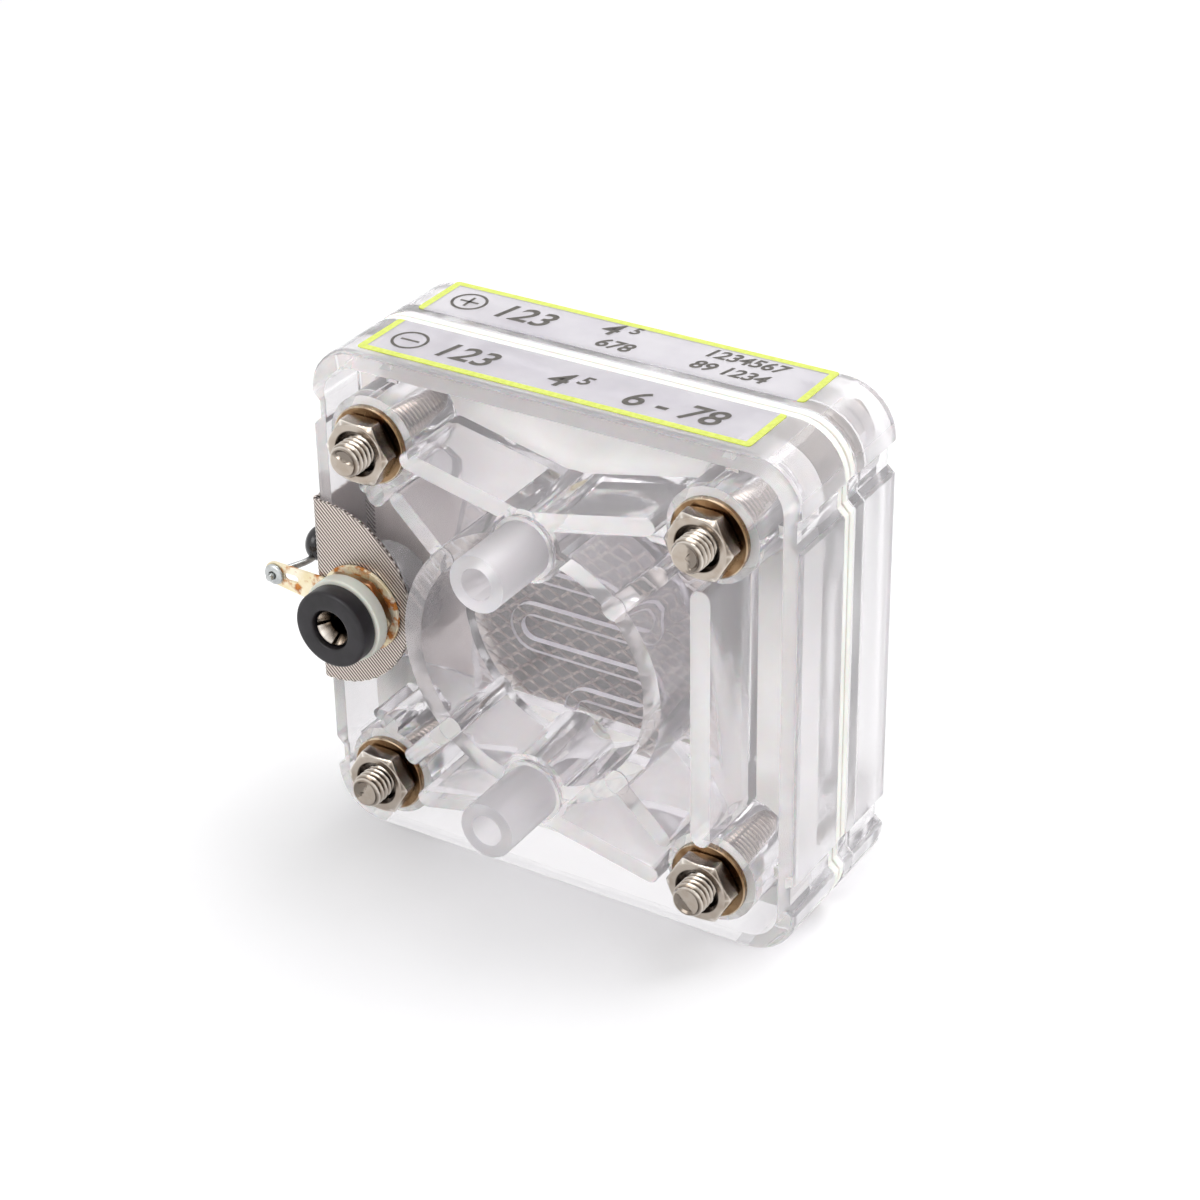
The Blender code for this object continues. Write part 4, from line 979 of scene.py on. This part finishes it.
# Each lead leaves the bead straight, then crosses to the lug in a smooth step.
for name, side in SIDES:
    node = name + "_lead"
    low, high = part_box(node)
    end, start = ends_of(node, side)
    inner_x = high[0] - WIRE_RADIUS
    outer_x = low[0] + WIRE_RADIUS
    level = np.full(WIRE_STATIONS, (low[2] + high[2]) / 2)
    depth = np.linspace(start, end, WIRE_STATIONS)
    share = np.clip((depth - start) / (end - start) * BEND_SPEED - BEND_DELAY, 0, 1)
    share = share * share * (3 - 2 * share)
    route = np.stack((inner_x + (outer_x - inner_x) * share, depth, level), axis=1)
    mesh = make_mesh(name + "_tinned_wire", wire_places(route, WIRE_RADIUS))
    add_piece(mesh, tinned, "solder", node)


# Labels: two strips of clear film stuck along the top, printed with a yellow-green border on
# the outer side and the ends. Each has its pole's sign in a circle and plain numbers.

BORDER_WIDTH = 0.85 * MM
PRINT_HEIGHT = 0.012 * MM
FILM_ROUND = 0.5 * MM
INK_SPREAD = 0.07 * MM
FIGURE_LEAN = 0.25
SIGN_PLACE = (4.2 * MM, 4.0 * MM)
SIGN_RADIUS = 2.1 * MM
SIGN_LINE = 0.16
SIGN_BAR = 0.55
SIGN_STEPS = 48


def slab(name, outline, low, high):
    """A flat piece: an outline in (x, y) at two heights, closed at the bottom and the top."""
    outline = np.array(outline, float)
    levels = [np.column_stack((outline, np.full(len(outline), z))) for z in (low, high)]
    return make_mesh(name, np.array(levels))


def label_film(name, node, side):
    """Printed polyester film: translucent lilac-white, with its border in yellow-green ink."""
    material, shader = start_material(name + "_printed_film", Roughness=0.25, IOR=1.58)
    place = add_node(material, "ShaderNodeTexCoord").outputs["Object"]
    parts = add_node(material, "ShaderNodeSeparateXYZ", {"Vector": place})
    low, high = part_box(node)
    edges = (("X", low[0]), ("X", high[0]), ("Y", ends_of(node, side)[0]))
    nearest = None
    for axis, edge in edges:
        gap = {0: parts.outputs[axis], 1: edge}
        gap = add_node(material, "ShaderNodeMath", gap, operation="SUBTRACT").outputs[0]
        gap = add_node(material, "ShaderNodeMath", {0: gap}, operation="ABSOLUTE").outputs[0]
        if nearest is not None:
            both = {0: gap, 1: nearest}
            gap = add_node(material, "ShaderNodeMath", both, operation="MINIMUM").outputs[0]
        nearest = gap
    inked = {0: nearest, 1: BORDER_WIDTH}
    inked = add_node(material, "ShaderNodeMath", inked, operation="LESS_THAN").outputs[0]
    film = mottled(material, "#CECAD2", "#DDDADF", grain=7.0)
    border = mottled(material, "#C3CE48", "#D3DD62", grain=0.5)
    layers = {"Factor": inked, 6: film, 7: border}
    tone = add_node(material, "ShaderNodeMix", layers, data_type="RGBA").outputs[2]
    cover = {"Value": inked, "To Min": 0.5, "To Max": 1.0}
    cover = add_node(material, "ShaderNodeMapRange", cover).outputs["Result"]
    join(material, shader, Base_Color=tone, Alpha=cover)
    surface_grain(material, shader, grain=4.0, depth=0.02)
    return material


def printing_ink():
    """Dark screen ink: nearly black, thin and a little uneven."""
    material, shader = start_material("screen_ink", Roughness=0.5)
    join(material, shader, Base_Color=mottled(material, "#3E3A36", "#57524C", grain=0.6))
    return material


def word_mesh(words, size, x, y, level):
    """Printed figures as flat solids, read from the front, with (x, y) at their left foot."""
    curve = bpy.data.curves.new("figures", "FONT")
    curve.body = words
    curve.size = size
    curve.extrude = PRINT_HEIGHT / 2
    curve.shear = FIGURE_LEAN
    curve.offset = INK_SPREAD
    holder = bpy.data.objects.new("figures", curve)
    bpy.context.scene.collection.objects.link(holder)
    bpy.context.view_layer.update()
    graph = bpy.context.evaluated_depsgraph_get()
    mesh = bpy.data.meshes.new_from_object(holder.evaluated_get(graph))
    bpy.data.objects.remove(holder)
    mesh.transform(Matrix.Translation((x, y, level + PRINT_HEIGHT / 2)))
    return mesh


def pole_sign(centre, radius, plus, level):
    """A circle with a minus or a plus in it, as flat solids: a flat ring and straight bars."""
    thick = radius * SIGN_LINE
    top = level + PRINT_HEIGHT
    angle = np.linspace(0, 2 * math.pi, SIGN_STEPS, endpoint=False)
    circle = np.stack((np.cos(angle), np.sin(angle)), axis=1)
    loops = [(radius - thick, level), (radius, level), (radius, top), (radius - thick, top)]
    places = [np.column_stack((centre + r * circle, np.full(SIGN_STEPS, z))) for r, z in loops]
    parts = [make_mesh("circle", np.array(places), closed_rows=True)]
    long = radius * SIGN_BAR
    bars = [(long, thick / 2)] + ([(thick / 2, long)] if plus else [])
    for half_x, half_y in bars:
        outline = [(-half_x, -half_y), (half_x, -half_y), (half_x, half_y), (-half_x, half_y)]
        parts.append(slab("bar", np.array(outline) + centre, level, top))
    return parts


# Each entry is the figures, their size, and where they start from the label's corner, in mm.
FIGURES = {
    "front": (
        ("123", 4.8, 7.6, 2.3),
        ("4", 4.6, 21.8, 2.2),
        ("5", 2.6, 25.0, 3.8),
        ("6 - 78", 4.8, 31.0, 2.1),
    ),
    "rear": (
        ("123", 4.8, 7.6, 2.3),
        ("4", 4.0, 20.3, 4.2),
        ("5", 2.2, 23.4, 5.6),
        ("678", 2.8, 21.6, 1.3),
        ("1234567", 2.7, 33.0, 4.7),
        ("89 1234", 2.7, 33.0, 1.6),
    ),
}
ink = printing_ink()
for name, side in SIDES:
    node = name + "_label"
    low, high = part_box(node)
    corners = [(low[0], low[1]), (high[0], low[1]), (high[0], high[1]), (low[0], high[1])]
    film_top = high[2] - PRINT_HEIGHT
    mesh = slab(name + "_film", soften(corners, FILM_ROUND), low[2], film_top)
    add_piece(mesh, label_film(name, node, side), "label_film", node)
    centre = (low[0] + SIGN_PLACE[0], low[1] + SIGN_PLACE[1])
    parts = pole_sign(centre, SIGN_RADIUS, side == REAR, film_top)
    for words, size, x, y in FIGURES[name]:
        parts.append(word_mesh(words, size * MM, low[0] + x * MM, low[1] + y * MM, film_top))
    add_piece(joined(name + "_print", parts), ink, "label_film")


# Studio: a pale floor of matt paper and a white surround, lit at a plain level by three broad
# soft lamps. None of it is part of the cell.

FLOOR_SIZE = 1.2
FLOOR_STEPS = 24
THROUGH_GLASS = 0.8
FADE_START = 0.16
FADE_END = 0.36


def pale_floor():
    """Matt studio paper that takes the cell's soft shadow.

    It is paler where it is seen through the plastic, and fades to white away from the cell."""
    material, shader = start_material("studio_paper", Roughness=0.9)
    join(material, shader, Base_Color=mottled(material, "#F6F6F7", "#F8F8F9", grain=60.0))
    white = add_node(material, "ShaderNodeEmission", {"Color": linear("#FFFFFF")})
    path = add_node(material, "ShaderNodeLightPath")
    behind = {0: path.outputs["Is Transmission Ray"], 1: THROUGH_GLASS}
    behind = add_node(material, "ShaderNodeMath", behind, operation="MULTIPLY").outputs[0]
    place = {0: add_node(material, "ShaderNodeTexCoord").outputs["Object"]}
    away = add_node(material, "ShaderNodeVectorMath", place, operation="LENGTH").outputs["Value"]
    fade = {"Value": away, "From Min": FADE_START, "From Max": FADE_END}
    fade["To Max"] = path.outputs["Is Camera Ray"]
    fade = add_node(material, "ShaderNodeMapRange", fade).outputs["Result"]
    whiter = {0: behind, 1: fade}
    whiter = add_node(material, "ShaderNodeMath", whiter, operation="MAXIMUM").outputs[0]
    layers = {0: whiter, 1: shader.outputs["BSDF"], 2: white.outputs["Emission"]}
    surface = add_node(material, "ShaderNodeMixShader", layers).outputs["Shader"]
    join(material, material.node_tree.nodes["Material Output"], Surface=surface)
    return material


across = np.linspace(-FLOOR_SIZE / 2, FLOOR_SIZE / 2, FLOOR_STEPS)
level = np.zeros((FLOOR_STEPS, FLOOR_STEPS))
grid = np.stack((*np.meshgrid(across, across), level), axis=-1)
index = np.arange(FLOOR_STEPS**2).reshape(FLOOR_STEPS, FLOOR_STEPS)
quads = np.stack((index[:-1, :-1], index[:-1, 1:], index[1:, 1:], index[1:, :-1]), axis=-1)
floor_mesh = bpy.data.meshes.new("studio_floor")
floor_mesh.from_pydata(grid.reshape(-1, 3), [], quads.reshape(-1, 4))
floor_mesh.materials.append(pale_floor())
floor = bpy.data.objects.new("studio_floor", floor_mesh)
bpy.context.scene.collection.objects.link(floor)

# The surround lights the cell at ROOM_LIGHT, and is white where it is seen.
ROOM_LIGHT = 0.7
LAMP_SIZE = 0.4
LAMP_AIM = Vector((0, 0, 0.03))
world = bpy.data.worlds.new("studio")
bpy.context.scene.world = world
world.use_nodes = True
background = world.node_tree.nodes["Background"]
background.inputs["Color"].default_value = linear("#FFFFFF")
path = add_node(world, "ShaderNodeLightPath").outputs
seen = {0: path["Is Camera Ray"], 1: path["Is Glossy Ray"]}
seen = add_node(world, "ShaderNodeMath", seen, operation="MAXIMUM").outputs[0]
seen = {0: seen, 1: path["Is Transmission Ray"]}
seen = add_node(world, "ShaderNodeMath", seen, operation="MAXIMUM").outputs[0]
level = {0: seen, 1: 1 - ROOM_LIGHT, 2: ROOM_LIGHT}
level = add_node(world, "ShaderNodeMath", level, operation="MULTIPLY_ADD").outputs[0]
join(world, background, Strength=level)


def add_lamp(name, place, watts):
    """A square soft box that faces the middle of the cell."""
    lamp = bpy.data.lights.new(name, "AREA")
    lamp.shape = "SQUARE"
    lamp.size = LAMP_SIZE
    lamp.energy = watts
    holder = bpy.data.objects.new(name, lamp)
    bpy.context.scene.collection.objects.link(holder)
    holder.location = place
    aim = LAMP_AIM - Vector(place)
    holder.rotation_euler = aim.to_track_quat("-Z", "Y").to_euler()


add_lamp("top_softbox", (0.1, 0.25, 0.5), 1.75)
add_lamp("front_softbox", (-0.1, -0.5, 0.4), 1.5)
add_lamp("right_softbox", (0.5, -0.1, 0.35), 0.2)


# Camera: at the photograph's viewing angle, above the cell and to its right, with a long lens.
# Its place, aim and roll were fitted to the edges of the body.

CAMERA_PLACE = (0.15255, -0.2384, 0.19295)
CAMERA_AIM = (-0.4599, 0.7348, -0.4985)
CAMERA_ROLL = math.radians(-1.10)
FOCAL_LENGTH = 88.8
forward = Vector(CAMERA_AIM).normalized()
level_right = forward.cross(Vector((0, 0, 1))).normalized()
level_up = level_right.cross(forward)
right = math.cos(CAMERA_ROLL) * level_right + math.sin(CAMERA_ROLL) * level_up
up = -math.sin(CAMERA_ROLL) * level_right + math.cos(CAMERA_ROLL) * level_up
lens = bpy.data.cameras.new("photo_camera")
lens.lens = FOCAL_LENGTH
lens.sensor_width = 36.0
lens.clip_start = 0.01
camera = bpy.data.objects.new("photo_camera", lens)
bpy.context.scene.collection.objects.link(camera)
turn = Matrix((right, up, -forward)).transposed().to_4x4()
camera.matrix_world = Matrix.Translation(CAMERA_PLACE) @ turn
bpy.context.scene.camera = camera
bpy.context.scene.view_settings.view_transform = "Standard"
